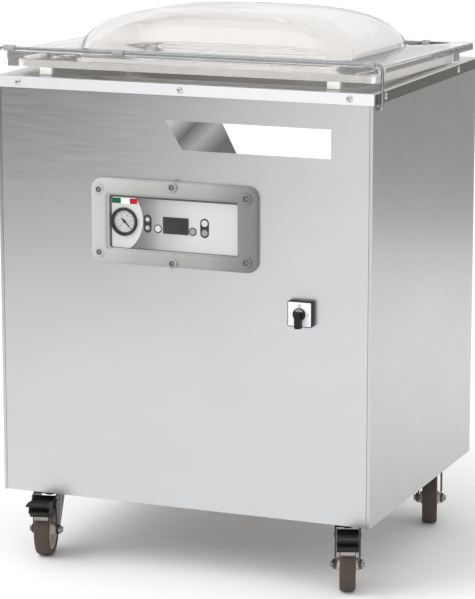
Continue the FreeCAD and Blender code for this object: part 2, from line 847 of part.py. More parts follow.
# ---------------------------------------------------------------- main switch and label

def switch_frame():
    """The square switch plate with its neck and its contact block behind the panel."""
    made = SketchedBody("switch_plate")
    half = D.switch_size / 2
    face = made.sketch("XZ_Plane", -CAB_FRONT)
    rounded_rectangle(face, (D.switch_x - half, D.switch_x + half),
                      (D.switch_z - half, D.switch_z + half), 3.5)
    made.pad(face, D.switch_depth)
    front = float(CAB_FRONT - D.switch_depth)
    made.fillet(1.8, lambda edge: edge.BoundBox.YMax < front + 0.01)
    neck = rod("switch_neck", 11, (D.switch_x, CAB_FRONT - 0.5, D.switch_z), 3.5, "Y")
    contacts = block("switch_contacts", (D.switch_x - 22, D.switch_x + 22),
                     (CAB_FRONT + 2, CAB_FRONT + 47), (D.switch_z - 22, D.switch_z + 22))
    bore_radius = D.knob_shaft_radius + D.slide_gap
    bore = rod("switch_bore", bore_radius, (D.switch_x, front - 1, D.switch_z), 13, "Y")
    publish("switch_frame", cut("switch", fuse("switch_solid", [made.body, neck, contacts]), [bore]))


def switch_knob():
    """The switch's round disc and grip bar on its shaft."""
    made = SketchedBody("knob")
    disc = made.sketch("XZ_Plane")
    circle(disc, 0, 0, D.knob_radius)
    made.pad(disc, 5)
    grip = made.sketch("XZ_Plane", 4)
    rounded_rectangle(grip, (-6, 6), (-27, 12), 4)
    made.pad(grip, 12)
    made.fillet(2, lambda edge: edge.BoundBox.YMax < -15.9)
    shaft = made.sketch("XZ_Plane", -11)
    circle(shaft, 0, 0, D.knob_shaft_radius)
    made.pad(shaft, 12)
    front = float(CAB_FRONT - D.switch_depth)
    at = Vector(float(D.switch_x), front - 0.4, float(D.switch_z))
    publish("switch_knob", made.body, Placement(at, Rotation()))


def name_plate():
    """The blank label plate with its slanted left end."""
    made = SketchedBody("label")
    plate = made.sketch("XZ_Plane", -CAB_FRONT)
    outline(plate, [(3.5, 809.5), (292.8, 809.5), (292.8, 863), (-29.6, 863)])
    made.pad(plate, 1)
    publish("name_plate", made.body)


# ---------------------------------------------------------------- lid and hinges

HINGE_SIDES = (-D.hinge_spacing / 2, D.hinge_spacing / 2)
LID_TILT = Placement(
    Vector(),
    Rotation(Vector(-1, 0, 0), float(D.lid_open)),
    Vector(0, float(D.hinge_y), float(D.hinge_z)),
)
HINGE_BOLT_Y = 240
DOME_LEVELS = (0, 0.35, 0.65, 0.88, 0.97, 1)
DOME_FULLNESS = 0.34


def dome_corner(level, shrink, half_width):
    """The plan corner's radius at a level, never more than the section can hold."""
    corner = D.dome_foot_corner + (D.dome_crown_corner - D.dome_foot_corner) * level - shrink / 2
    return min(float(corner), 0.85 * float(half_width))


def dome_sections(made, shrink, drop):
    """Rounded plan sections of the dome from its foot to its crown."""
    sections = []
    foot = D.lid_plate_top - 3
    middle = (D.dome_back - D.dome_front) / 2
    for level in DOME_LEVELS:
        inset = 1 - (1 - level ** 2) ** DOME_FULLNESS
        half_w = D.dome_width / 2 - shrink - D.dome_taper_x * inset
        half_d = (D.dome_front + D.dome_back) / 2 - shrink - D.dome_taper_y * inset
        at = foot + (D.dome_rise + 3) * level - drop
        section = made.sketch("XY_Plane", at)
        corner = dome_corner(level, shrink, half_w)
        rounded_rectangle(section, (-half_w, half_w), (middle - half_d, middle + half_d), corner)
        sections.append(section)
    return sections


def lid_shell():
    """The clear lid: a thick plate with a skirt below and a blown dome above."""
    made = SketchedBody("lid")
    half = D.lid_width / 2
    plate = made.sketch("XY_Plane", D.lid_plate_bottom)
    rounded_rectangle(plate, (-half, half), (-D.lid_front, D.lid_back), 6)
    made.pad(plate, D.lid_plate_top - D.lid_plate_bottom)
    skirt = made.sketch("XY_Plane", D.lid_bottom)
    rounded_rectangle(skirt, (-half, half), (-D.lid_front, D.skirt_back), 6)
    made.pad(skirt, D.lid_plate_bottom - D.lid_bottom)
    inside = made.sketch("XY_Plane", D.lid_bottom)
    inner = half - D.lid_skirt
    rounded_rectangle(inside, (-inner, inner), (-D.lid_front + D.lid_skirt, D.skirt_back - D.lid_skirt), 30)
    made.pocket(inside, D.lid_plate_bottom - D.lid_bottom, reverse=True)
    made.loft("Additive", dome_sections(made, 0, 0))
    made.loft("Subtractive", dome_sections(made, D.dome_wall, 14))
    hollow_foot = made.sketch("XY_Plane", D.lid_plate_bottom - 1)
    half_w = D.dome_width / 2 - D.dome_wall
    rounded_rectangle(hollow_foot, (-half_w, half_w),
                      (-D.dome_front + D.dome_wall, D.dome_back - D.dome_wall),
                      dome_corner(0, D.dome_wall, half_w))
    made.pocket(hollow_foot, 6, reverse=True)
    bolt_holes = [
        rod("bolt_drill", 4.1, (x, HINGE_BOLT_Y, D.lid_plate_bottom - 1), 20) for x in HINGE_SIDES
    ]
    publish("lid_shell", cut("lid_drilled", made.body, bolt_holes), LID_TILT)


def lid_gasket():
    """The soft sealing ring that meets the deck round the chamber."""
    made = SketchedBody("gasket")
    outer_w = D.lid_width / 2 - D.lid_skirt - 2
    front, back = -D.lid_front + D.lid_skirt + 2, D.skirt_back - D.lid_skirt - 2
    ring = made.sketch("XY_Plane", D.lid_bottom - 1.8)
    rounded_rectangle(ring, (-outer_w, outer_w), (front, back), 28)
    inner_w = outer_w - 10
    rounded_rectangle(ring, (-inner_w, inner_w), (front + 10, back - 10), 18)
    made.pad(ring, D.lid_plate_bottom - D.lid_bottom + 1.8)
    publish("lid_gasket", made.body, LID_TILT)


def lid_rest_pads():
    """The two white pads under the lid's front edge."""
    half = D.pad_width / 2
    front = -D.lid_front
    pads = [
        block("rest_pad", (side * D.pad_spacing / 2 - half, side * D.pad_spacing / 2 + half),
              (front, front + D.pad_depth), (D.lid_bottom - D.pad_height, D.lid_bottom))
        for side in (-1, 1)
    ]
    publish("lid_rest_pads", group("pads", pads), LID_TILT)


def counter_bar_rubber():
    """The silicone strip under the lid that backs the seal bar."""
    half = D.bar_length / 2 + 5
    middle = -D.bar_middle
    strip = block("rubber_strip", (-half, half), (middle - 16, middle + 16),
                  (D.lid_bottom, D.lid_plate_bottom))
    publish("counter_bar_rubber", group("rubber", [strip]), LID_TILT)


def knuckle(name, x_start, x_end, bore):
    """One barrel of a hinge."""
    length = size(x_end) - x_start
    barrel = rod(f"{name}_barrel", D.knuckle_radius, (x_start, D.hinge_y, D.hinge_z), length, "X")
    hole = rod(f"{name}_hole", bore, (size(x_start) - 1, D.hinge_y, D.hinge_z), length + 2, "X")
    return barrel, hole


def lid_hinge_leaves():
    """The hinge leaves bolted under the lid's back edge."""
    leaves = []
    for x in HINGE_SIDES:
        barrel, hole = knuckle("leaf", x - 15, x + 15, D.pin_radius + D.slide_gap)
        leaf = block("leaf_plate", (x - 15, x + 15), (D.hinge_y - 62, D.hinge_y),
                     (D.lid_plate_bottom - 3, D.lid_plate_bottom))
        bolt_hole = rod("leaf_drill", 4.1, (x, HINGE_BOLT_Y, D.lid_plate_bottom - 4), 6)
        leaves.append(cut("leaf", fuse("leaf_solid", [leaf, barrel]), [hole, bolt_hole]))
    publish("lid_hinge_leaves", group("leaves", leaves), LID_TILT)


def lid_hinge_bolts():
    """One through bolt and nut for each hinge leaf."""
    bolts = []
    for x in HINGE_SIDES:
        shank_bottom = D.lid_plate_bottom - 9
        head = rod("bolt_head", 7, (x, HINGE_BOLT_Y, D.lid_plate_top), 5.5)
        shank = rod("bolt_shank", 4, (x, HINGE_BOLT_Y, shank_bottom), D.lid_plate_top - shank_bottom + 1)
        nut = doc.addObject("Part::Prism", "bolt_nut")
        bind(nut, Circumradius=7, Height=5)
        nut.Polygon = 6
        place(nut, x, HINGE_BOLT_Y, D.lid_plate_bottom - 8.2)
        socket = doc.addObject("Part::Prism", "bolt_socket")
        bind(socket, Circumradius=3.4, Height=5)
        socket.Polygon = 6
        place(socket, x, HINGE_BOLT_Y, D.lid_plate_top + 2.5)
        bolts.append(cut("bolt", fuse("bolt_solid", [head, shank, nut]), [socket]))
    publish("lid_hinge_bolts", group("bolts", bolts), LID_TILT)


def hinge_brackets():
    """The fixed hinge halves on the deck, an ear on each side of the lid's barrel."""
    brackets = []
    for x in HINGE_SIDES:
        base = block("bracket_base", (x - 30, x + 30), (D.hinge_y - 12, D.hinge_y + 14),
                     (D.deck_top, D.deck_top + D.bracket_sheet))
        solids, holes = [base], []
        for low, high in ((x - 28, x - 15.4), (x + 15.4, x + 28)):
            barrel, hole = knuckle("bracket", low, high, D.pin_radius)
            foot = block("bracket_foot", (low, high), (D.hinge_y - 6, D.hinge_y + 6),
                         (D.deck_top, D.hinge_z))
            solids += [barrel, foot]
            holes.append(hole)
        brackets.append(cut("bracket", fuse("bracket_solid", solids), holes))
    publish("hinge_brackets", group("brackets", brackets))


def hinge_pins():
    """The steel pins of the lid's hinges."""
    pins = [rod("pin", D.pin_radius, (x - 29, D.hinge_y, D.hinge_z), 58, "X") for x in HINGE_SIDES]
    publish("hinge_pins", group("pins", pins))


# ---------------------------------------------------------------- hold-down bail

SLEEVES_X = (-357, -134, 356)


def rounded_wire(points, radii):
    """Straight runs through the points, joined by tangent arcs of the given radii."""
    edges = []
    start = points[0]
    for before, corner, after, radius in zip(points, points[1:], points[2:], radii):
        arriving = (corner - before).normalize()
        leaving = (after - corner).normalize()
        half_turn = arriving.getAngle(leaving) / 2
        reach = radius * math.tan(half_turn)
        inward = (leaving - arriving).normalize()
        centre = corner + inward * (radius / math.cos(half_turn))
        arc_start, arc_end = corner - arriving * reach, corner + leaving * reach
        edges.append(Part.LineSegment(start, arc_start).toShape())
        edges.append(Part.Arc(arc_start, centre - inward * radius, arc_end).toShape())
        start = arc_end
    edges.append(Part.LineSegment(start, points[-1]).toShape())
    return Part.Wire(edges)


def swept_bar(wire, radius):
    """A round bar along a wire."""
    first = wire.Edges[0]
    start = first.valueAt(first.FirstParameter)
    ring = Part.Wire(Part.makeCircle(radius, start, first.tangentAt(first.FirstParameter)))
    return wire.makePipeShell([ring], True, False)


def hold_down_bail():
    """A bent stainless rod that swings up over the lid's front edge."""
    leg = float(D.bail_width) / 2
    pivot_y, pivot_z = float(D.bail_pivot_y), float(D.bail_pivot_z)
    bar_y, top = float(D.bail_bar_y), float(D.bail_top)
    inner = float(CAB_SIDE) - 20
    points = [
        Vector(-inner, pivot_y, pivot_z), Vector(-leg, pivot_y, pivot_z), Vector(-leg, bar_y, top),
        Vector(leg, bar_y, top), Vector(leg, pivot_y, pivot_z), Vector(inner, pivot_y, pivot_z),
    ]
    bent = swept_bar(rounded_wire(points, [5, 10, 10, 5]), float(D.bail_radius))
    publish("hold_down_bail", feature("bail", bent))


def on_crossbar(name, radius, start, length):
    """A round piece round the axis of the bail's crossbar."""
    return rod(name, radius, (start, D.bail_bar_y, D.bail_top), length, "X")


def bail_sleeves():
    """The ribbed clear sleeves on the bail's crossbar."""
    rib_pitch, rib_width, end_margin = 4.6, 2.6, 1.2
    sleeves = []
    for x in SLEEVES_X:
        start = x - D.sleeve_length / 2
        core = on_crossbar("sleeve_core", D.sleeve_radius - 0.7, start, D.sleeve_length)
        ribs = [
            on_crossbar("sleeve_rib", D.sleeve_radius, start + end_margin + index * rib_pitch, rib_width)
            for index in range(5)
        ]
        bore = on_crossbar("sleeve_bore", D.bail_radius, start - 1, D.sleeve_length + 2)
        sleeves.append(cut("sleeve", fuse("sleeve_solid", [core] + ribs), [bore]))
    publish("bail_sleeves", group("sleeves", sleeves))


# ---------------------------------------------------------------- machinery inside

def vacuum_pump():
    """The rotary vane pump with cooling ribs, its feet and its inlet neck."""
    rib_start, rib_width, rib_pitch = -144, 5, 14
    ribs = []
    for index in range(11):
        low = rib_start + rib_pitch * index
        ribs.append(block("pump_rib", (low, low + rib_width), (-110, 70), (150, 292)))
    case = block("pump_case", (-150, 16), (-100, 60), (150, 284))
    feet = [block("pump_foot", (x, x + 26), (-110, 70), (133, 150)) for x in (-140, -24)]
    neck = rod("pump_neck", 21, (-60, -40, 284), 26)
    publish("vacuum_pump", fuse("pump", [case, neck] + ribs + feet))


def pump_motor():
    """The pump's finned electric motor."""
    barrel = rod("motor_barrel", 70, (16, -20, 220), 190, "X")
    fins = [rod("motor_fin", 76, (40 + 16 * index, -20, 220), 6, "X") for index in range(8)]
    foot = block("motor_foot", (60, 170), (-75, 35), (133, 165))
    cap = taper("motor_cap", 72, 60, (206, -20, 220), 26, "X")
    publish("pump_motor", fuse("motor", [barrel, foot, cap] + fins))


def oil_mist_filter():
    """The exhaust filter canister that stands on the pump's side."""
    canister = rod("filter_canister", 42, (-205, -20, 170), 220)
    cap = rod("filter_cap", 46, (-205, -20, 390), 18)
    elbow = rod("filter_pipe", 14, (-170, -20, 250), 20, "X")
    publish("oil_mist_filter", fuse("filter", [canister, cap, elbow]))


def suction_hose():
    """The hose from the pump's neck to the port in the chamber's floor."""
    points = [
        Vector(-60, -40, 310), Vector(-60, -40, 450), Vector(PORT_X, PORT_Y, 600),
        Vector(PORT_X, PORT_Y, float(D.chamber_floor) - 2),
    ]
    wire = rounded_wire(points, [70, 70])
    tube = swept_bar(wire, float(D.port_radius) + 3).cut(swept_bar(wire, float(D.port_radius) - 1))
    publish("suction_hose", feature("hose", tube))


def seal_transformer():
    """The transformer that heats the seal bar: a laminated core and two coils."""
    core = block("core", (-330, -230), (-190, -110), (140, 240))
    windows = [block("core_window", (low, low + 18), (-191, -109), (162, 218)) for low in (-312, -266)]
    feet = block("core_feet", (-335, -225), (-200, -100), (133, 140))
    coil = block("coil", (-312, -248), (-200, -100), (166, 214))
    publish("seal_transformer", fuse("transformer", [cut("core_cut", core, windows), feet, coil]))


def cable_gland():
    """The gland where the supply cable enters at the back."""
    at_y = CAB_BACK - D.cab_sheet
    neck = rod("gland_neck", 8, (GLAND_X, at_y - 8, GLAND_Z), 20, "Y")
    nuts = []
    for start, length in ((at_y, 7), (at_y - 6.5, 5)):
        nut = doc.addObject("Part::Prism", "gland_nut")
        bind(nut, Circumradius=13, Height=length)
        nut.Polygon = 6
        nuts.append(place(nut, GLAND_X, start, GLAND_Z, TURN["Y"]))
    dome = taper("gland_dome", 11.5, 8.5, (GLAND_X, at_y + 7, GLAND_Z), 17.5, "Y")
    bore = rod("gland_bore", 5.5, (GLAND_X, at_y - 9, GLAND_Z), 40, "Y")
    publish("cable_gland", cut("gland", fuse("gland_solid", [neck, dome] + nuts), [bore]))


# ---------------------------------------------------------------- castors

CASTERS = {
    "fl": (-1, "front", 14, True),
    "fr": (1, "front", 20, True),
    "rl": (-1, "rear", 16, False),
    "rr": (1, "rear", 18, False),
}
HEAD_TOP = D.cab_bottom - 4
HEAD_BOTTOM = D.cab_bottom - 15


def caster_spot(corner):
    """Where a castor's swivel axis stands on the floor, and how its fork is turned."""
    side, row, turn, _ = CASTERS[corner]
    along = D.caster_front if row == "front" else D.caster_rear
    return Placement(Vector(side * float(D.caster_x), float(along), 0), Rotation(Vector(0, 0, 1), turn))


def caster_plates():
    """The four top plates, each with its race, kingpin and four bolts."""
    plates = []
    for side, row, _, _ in CASTERS.values():
        x = side * D.caster_x
        y = D.caster_front if row == "front" else D.caster_rear
        plate_bottom = D.cab_bottom - 3
        pieces = [
            block("caster_plate", (x - 50, x + 50), (y - 42.5, y + 42.5), (plate_bottom, D.cab_bottom)),
            rod("caster_race", 24, (x, y, plate_bottom - 0.6), 0.6),
            rod("kingpin", D.kingpin_radius, (x, y, HEAD_BOTTOM - 5), 17),
            rod("kingpin_nut", 9, (x, y, HEAD_BOTTOM - 5), 4.4),
        ]
        for bolt_x in (-43, 43):
            for bolt_y in (-35, 35):
                pieces.append(rod("plate_bolt", 5.5, (x + bolt_x, y + bolt_y, plate_bottom - 3.5), 3.5))
        plates.append(fuse("caster_top", pieces))
    publish("caster_plates", group("caster_tops", plates))


def caster_fork(corner):
    """The swivelling fork with its axle."""
    braked = CASTERS[corner][3]
    leg_outside = D.fork_inside / 2 + D.fork_sheet
    front = -40 if braked else -24
    pieces = [
        block("fork_head", (-leg_outside, leg_outside), (front, 28), (HEAD_TOP - 5, HEAD_TOP)),
        rod("fork_boss", 20, (0, 0, HEAD_BOTTOM), 10),
    ]
    nose = [(-56, 121), (-58, 108), (-52, 96)] if braked else [(-24, 121), (-34, 110), (-44, 88)]
    for side in (-1, 1):
        leg = SketchedBody("fork_leg")
        start = D.fork_inside / 2 if side > 0 else -leg_outside
        profile = leg.sketch("YZ_Plane", start)
        outline(profile, [(28, 121)] + nose + [(-48, 44), (-42, 40), (-34, 40), (-28, 44), (30, 110)])
        leg.pad(profile, D.fork_sheet)
        pieces.append(leg.body)
    wheel_y = -D.caster_trail
    axle_start = (-leg_outside - 4, wheel_y, D.wheel_radius)
    pieces.append(rod("axle", D.axle_radius, axle_start, 2 * leg_outside + 8, "X"))
    for start in (-leg_outside - 3.5, leg_outside):
        nut = doc.addObject("Part::Prism", "axle_nut")
        bind(nut, Circumradius=9.5, Height=3.5)
        nut.Polygon = 6
        pieces.append(place(nut, start, wheel_y, D.wheel_radius, TURN["X"]))
    bores = [rod("kingpin_bore", D.kingpin_radius + D.slide_gap, (0, 0, HEAD_BOTTOM - 1), 14)]
    if braked:
        bore_radius = D.pedal_pin_radius + D.slide_gap
        bores.append(rod("pedal_bore", bore_radius, (-30, D.pedal_pin_y, D.pedal_pin_z), 60, "X"))
    publish(f"fork_{corner}", cut("fork", fuse("fork_solid", pieces), bores), caster_spot(corner))


def wheel_spot(corner):
    """The wheel's centre, with the sketch's vertical axis turned along the axle."""
    centre = Vector(0, -float(D.caster_trail), float(D.wheel_radius))
    return caster_spot(corner).multiply(Placement(centre, TURN["X"]))


def caster_hub(corner):
    """The wheel's moulded centre, with rim, thin web and a long boss."""
    made = SketchedBody(f"hub_{corner}_body")
    profile = made.sketch("XZ_Plane")
    rim, bore = D.hub_radius, D.axle_radius + D.slide_gap
    boss = D.fork_inside / 2 - 1
    outline(profile, [
        (bore, -boss), (13, -boss), (14, -4), (rim - 7, -4), (rim - 5, -13), (rim, -13),
        (rim, 13), (rim - 5, 13), (rim - 7, 4), (14, 4), (13, boss), (bore, boss),
    ])
    made.revolve(profile)
    publish(f"hub_{corner}", made.body, wheel_spot(corner))


def caster_tyre(corner):
    """The solid tread round the hub."""
    made = SketchedBody(f"tyre_{corner}_body")
    profile = made.sketch("XZ_Plane")
    inner, outer, half = D.hub_radius, D.wheel_radius, D.wheel_width / 2
    outline(profile, [
        (inner, -half + 1), (outer - 3.5, -half), (outer - 1, -half + 3), (outer, -half + 7),
        (outer, half - 7), (outer - 1, half - 3), (outer - 3.5, half), (inner, half - 1),
    ])
    made.revolve(profile)
    publish(f"tyre_{corner}", made.body, wheel_spot(corner))


def caster_pedal(corner):
    """The two-step brake pedal on its cross pin, with the shoe that meets the tread."""
    half = D.pedal_width / 2
    lever = SketchedBody("pedal_lever")
    side_view = lever.sketch("YZ_Plane", -half)
    outline(side_view, [
        (-42, 104), (-42, 117), (-50, 120.5), (-70, 116.5), (-98, 120.5), (-129, 121.5), (-130, 118.5),
        (-106, 111), (-102, 108), (-107, 102), (-105, 98), (-96, 95), (-91, 87), (-84, 88), (-76, 96.5),
        (-66, 104), (-58, 102.5),
    ])
    lever.pad(side_view, D.pedal_width)
    pin = rod("pedal_pin", D.pedal_pin_radius, (-26, D.pedal_pin_y, D.pedal_pin_z), 52, "X")
    shoe_half = D.shoe_width / 2
    shoe = block("pedal_shoe", (-shoe_half, shoe_half), (-89, -84.5), (80, 90))
    publish(f"pedal_{corner}", fuse("pedal", [lever.body, pin, shoe]), caster_spot(corner))


# ---------------------------------------------------------------- the whole machine

def build():
    """Makes every sub-part of the machine."""
    base_tray()
    front_panel()
    side_panel("left_side_panel", -1)
    side_panel("right_side_panel", 1)
    rear_panel()
    top_deck()
    chamber_tub()
    cabinet_screws()
    filler_plates()
    lift_cylinders()
    seal_bar()
    seal_bar_tape()
    control_bezel()
    bezel_screws()
    control_overlay()
    display_module()
    gauge_case()
    gauge_lens()
    gauge_needle()
    keys()
    control_board()
    switch_frame()
    switch_knob()
    name_plate()
    lid_shell()
    lid_gasket()
    lid_rest_pads()
    counter_bar_rubber()
    lid_hinge_leaves()
    lid_hinge_bolts()
    hinge_brackets()
    hinge_pins()
    hold_down_bail()
    bail_sleeves()
    vacuum_pump()
    pump_motor()
    oil_mist_filter()
    suction_hose()
    seal_transformer()
    cable_gland()
    caster_plates()
    for corner, (_, _, _, braked) in CASTERS.items():
        caster_fork(corner)
        caster_hub(corner)
        caster_tyre(corner)
        if braked:
            caster_pedal(corner)


def check():
    """Stops if any object failed or any sub-part has no valid solid."""
    for thing in doc.Objects:
        if {"Invalid", "Error"} & set(thing.State):
            raise RuntimeError(f"{thing.Name} failed: {thing.State}")
    for part in PARTS:
        if part.Shape.isNull() or not part.Shape.isValid() or not part.Shape.Solids:
            raise RuntimeError(f"{part.Label} has no valid solid")


def export():
    """Writes each sub-part to its own file."""
    os.makedirs("parts", exist_ok=True)
    for part in PARTS:
        part.Shape.exportStep(f"parts/{part.Label}.step")


build()
doc.recompute()
check()
export()
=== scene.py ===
"""Looks of the vacuum chamber sealer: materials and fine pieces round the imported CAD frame.

Everything is in metres in the CAD's own frame: X right, Y back, Z up.
"""
import bpy
import bmesh
import json
import math
from mathutils import Matrix, Vector


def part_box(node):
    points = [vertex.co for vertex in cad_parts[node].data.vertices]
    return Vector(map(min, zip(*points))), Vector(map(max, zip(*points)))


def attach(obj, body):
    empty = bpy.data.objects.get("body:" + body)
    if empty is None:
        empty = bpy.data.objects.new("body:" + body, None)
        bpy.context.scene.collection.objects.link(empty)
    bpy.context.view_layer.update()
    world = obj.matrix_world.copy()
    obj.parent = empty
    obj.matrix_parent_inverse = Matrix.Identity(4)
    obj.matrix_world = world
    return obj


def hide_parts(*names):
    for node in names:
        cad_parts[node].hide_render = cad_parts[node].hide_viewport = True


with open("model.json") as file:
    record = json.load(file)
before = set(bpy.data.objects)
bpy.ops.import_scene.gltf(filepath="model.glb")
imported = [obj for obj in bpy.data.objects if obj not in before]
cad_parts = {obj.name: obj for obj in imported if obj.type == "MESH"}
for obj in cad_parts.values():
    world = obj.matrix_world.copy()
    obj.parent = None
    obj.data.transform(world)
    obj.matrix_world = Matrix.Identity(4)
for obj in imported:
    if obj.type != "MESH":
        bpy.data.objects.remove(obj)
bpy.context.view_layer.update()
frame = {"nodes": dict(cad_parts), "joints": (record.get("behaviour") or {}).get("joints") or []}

MM = 0.001
SIDES = (("left", -1), ("right", 1))
CORNERS = ("fl", "fr", "rl", "rr")
BRAKED_CORNERS = ("fl", "fr")
JOINTS = {joint["name"]: joint for joint in frame["joints"]}

# Facing the front: a flat shape drawn in X and Y stands upright, its front towards -Y.
UPRIGHT = Matrix.Rotation(math.radians(90), 4, "X")
LID_HINGE = Vector(JOINTS["lid_hinge"]["pos_m"])
LID_OPEN = math.radians(1.25)
LID_TILT = (
    Matrix.Translation(LID_HINGE)
    @ Matrix.Rotation(-LID_OPEN, 4, "X")
    @ Matrix.Translation(-LID_HINGE)
)


# ---------------------------------------------------------------- materials

class Paint:
    """A procedural material, built up from its principled shader."""

    def __init__(self, name, colour, roughness, metallic=0.0, **sockets):
        self.material = bpy.data.materials.new(name)
        self.material.use_nodes = True
        self.nodes = self.material.node_tree.nodes
        self.links = self.material.node_tree.links
        self.shader = self.nodes["Principled BSDF"]
        self.colour = (*colour, 1.0)
        self.set("Base Color", self.colour)
        self.set("Roughness", roughness)
        self.set("Metallic", metallic)
        for socket, value in sockets.items():
            self.set(socket.replace("_", " "), value)
        self.place = self.nodes.new("ShaderNodeTexCoord").outputs["Object"]

    def set(self, socket, value):
        self.shader.inputs[socket].default_value = value

    def join(self, output, target):
        self.links.new(output, target)

    def noise(self, scale, detail, stretch=(1, 1, 1)):
        """Cloudy values, stretched along each axis by a factor of its own."""
        mapping = self.nodes.new("ShaderNodeMapping")
        mapping.inputs["Scale"].default_value = stretch
        self.join(self.place, mapping.inputs["Vector"])
        texture = self.nodes.new("ShaderNodeTexNoise")
        texture.inputs["Scale"].default_value = scale
        texture.inputs["Detail"].default_value = detail
        self.join(mapping.outputs["Vector"], texture.inputs["Vector"])
        return texture.outputs["Fac"]

    def along(self, axis, start, end, place=None, easing="SMOOTHSTEP"):
        """A value that runs from 0 to 1 between two places along an axis."""
        split = self.nodes.new("ShaderNodeSeparateXYZ")
        self.join(place or self.place, split.inputs[0])
        ranged = self.nodes.new("ShaderNodeMapRange")
        ranged.interpolation_type = easing
        ranged.inputs["From Min"].default_value = start
        ranged.inputs["From Max"].default_value = end
        self.join(split.outputs["XYZ".index(axis)], ranged.inputs["Value"])
        return ranged.outputs["Result"]

    def ramp(self, factor, stops):
        """A colour ramp over a value; each stop is a place and a grey or a colour."""
        ramp = self.nodes.new("ShaderNodeValToRGB")
        band = ramp.color_ramp
        while len(band.elements) < len(stops):
            band.elements.new(0.5)
        for element, (at, shade) in zip(band.elements, stops):
            element.position = at
            element.color = (*shade, 1.0) if isinstance(shade, tuple) else (shade, shade, shade, 1.0)
        self.join(factor, ramp.inputs["Fac"])
        return ramp.outputs["Color"]

    def colour_from(self, output):
        """The base colour follows a colour ramp."""
        self.join(output, self.shader.inputs["Base Color"])

    def tint(self, factor, low, high):
        """The base colour's brightness varies between two factors of itself."""
        shades = [tuple(channel * level for channel in self.colour[:3]) for level in (low, high)]
        self.colour_from(self.ramp(factor, [(0.25, shades[0]), (0.75, shades[1])]))

    def rough(self, factor, low, high):
        """The roughness varies between two values."""
        self.join(self.ramp(factor, [(0.3, low), (0.7, high)]), self.shader.inputs["Roughness"])

    def bump(self, height, strength, distance):
        """Fine relief from a height."""
        relief = self.nodes.new("ShaderNodeBump")
        relief.inputs["Strength"].default_value = strength
        relief.inputs["Distance"].default_value = distance
        self.join(height, relief.inputs["Height"])
        self.join(relief.outputs["Normal"], self.shader.inputs["Normal"])


def brushed(name, colour, roughness, grain, metallic=1.0):
    """Brushed sheet: fine lines along one axis, with faint cloudy wear."""
    paint = Paint(name, colour, roughness, metallic)
    lines = paint.noise(900, 3.0, tuple(0.02 if axis == grain else 1.0 for axis in "XYZ"))
    paint.rough(lines, roughness - 0.03, roughness + 0.04)
    paint.tint(paint.noise(3.2, 3.0, (1, 1, 1.6)), 0.97, 1.03)
    paint.bump(lines, 0.07, 0.0002)
    return paint.material


def moulded(name, colour, roughness, grain=500, relief=0.15, specular=0.5, metallic=0.0):
    """Moulded plastic or rubber with a fine matt grain."""
    paint = Paint(name, colour, roughness, metallic, Specular_IOR_Level=specular)
    fine = paint.noise(grain, 5.0)
    paint.rough(paint.noise(60, 2.0), roughness - 0.04, roughness + 0.05)
    paint.tint(paint.noise(14, 3.0), 0.93, 1.06)
    paint.bump(fine, relief, 0.0003)
    return paint.material


def plated(name, colour, roughness):
    """Plated or polished small steel parts with slight stains."""
    paint = Paint(name, colour, roughness, metallic=1.0)
    paint.tint(paint.noise(90, 4.0), 0.85, 1.05)
    paint.rough(paint.noise(220, 3.0), roughness - 0.05, roughness + 0.08)
    return paint.material


def clear(name, colour, roughness, transmission, ior):
    """Clear or cloudy see-through plastic with a faint unevenness."""
    paint = Paint(name, colour, roughness, Transmission_Weight=transmission, IOR=ior)
    paint.bump(paint.noise(9, 2.0), 0.12, 0.004)
    return paint.material


def overlay_print(name):
    """Grey film that lightens towards the right, with a silky grain."""
    paint = Paint(name, (0.5, 0.5, 0.5), 0.38, metallic=0.1)
    lo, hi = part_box("control_overlay")
    width = hi.x - lo.x
    shade = paint.along("X", lo.x + 0.22 * width, lo.x + 0.72 * width)
    paint.colour_from(paint.ramp(shade, [(0, 0.18), (0.3, 0.42), (1, 0.60)]))
    paint.bump(paint.noise(700, 3.0, (0.03, 1, 1)), 0.06, 0.0002)
    return paint.material


def bezel_plastic(name):
    """Pale grey moulded plastic whose colour darkens a little towards the right: painted shade from light
    that falls from the left.
    """
    paint = Paint(name, (0.4, 0.4, 0.4), 0.36)
    lo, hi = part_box("control_bezel")
    # The ramp's stops are painted shade: light at the left, dark at the right.
    stops = [
        (0, (0.46, 0.46, 0.45)), (0.2, (0.37, 0.37, 0.36)),
        (0.8, (0.32, 0.32, 0.31)), (1, (0.185, 0.185, 0.18)),
    ]
    paint.colour_from(paint.ramp(paint.along("X", lo.x, hi.x), stops))
    paint.rough(paint.noise(60, 2.0), 0.32, 0.41)
    paint.bump(paint.noise(900, 5.0), 0.12, 0.0003)
    return paint.material


def label_metal(name):
    """Metal foil with light and dark bands that slant at 45 degrees."""
    paint = Paint(name, (0.7, 0.7, 0.7), 0.3, metallic=0.75)
    slanted = paint.nodes.new("ShaderNodeMapping")
    slanted.inputs["Rotation"].default_value = (0, math.radians(-45), 0)
    paint.join(paint.place, slanted.inputs["Vector"])
    lo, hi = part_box("name_plate")
    start = (lo.x - hi.z) * math.sqrt(0.5)
    bands_width = 0.158
    across = paint.along("X", start, start + bands_width, slanted.outputs["Vector"], "LINEAR")
    stops = [(0, 0.80), (0.1, 0.62), (0.28, 0.18), (0.46, 0.46), (0.66, 0.17), (1, 0.15)]
    paint.colour_from(paint.ramp(across, stops))
    paint.bump(paint.noise(800, 3.0, (1, 1, 0.02)), 0.08, 0.0002)
    return paint.material


def woven_tape(name):
    """Brown glass-cloth tape with its fine weave."""
    paint = Paint(name, (0.30, 0.19, 0.11), 0.45)
    weave = paint.nodes.new("ShaderNodeTexChecker")
    weave.inputs["Scale"].default_value = 900
    paint.join(paint.place, weave.inputs["Vector"])
    paint.tint(weave.outputs["Fac"], 0.8, 1.1)
    paint.bump(weave.outputs["Fac"], 0.3, 0.0002)
    return paint.material


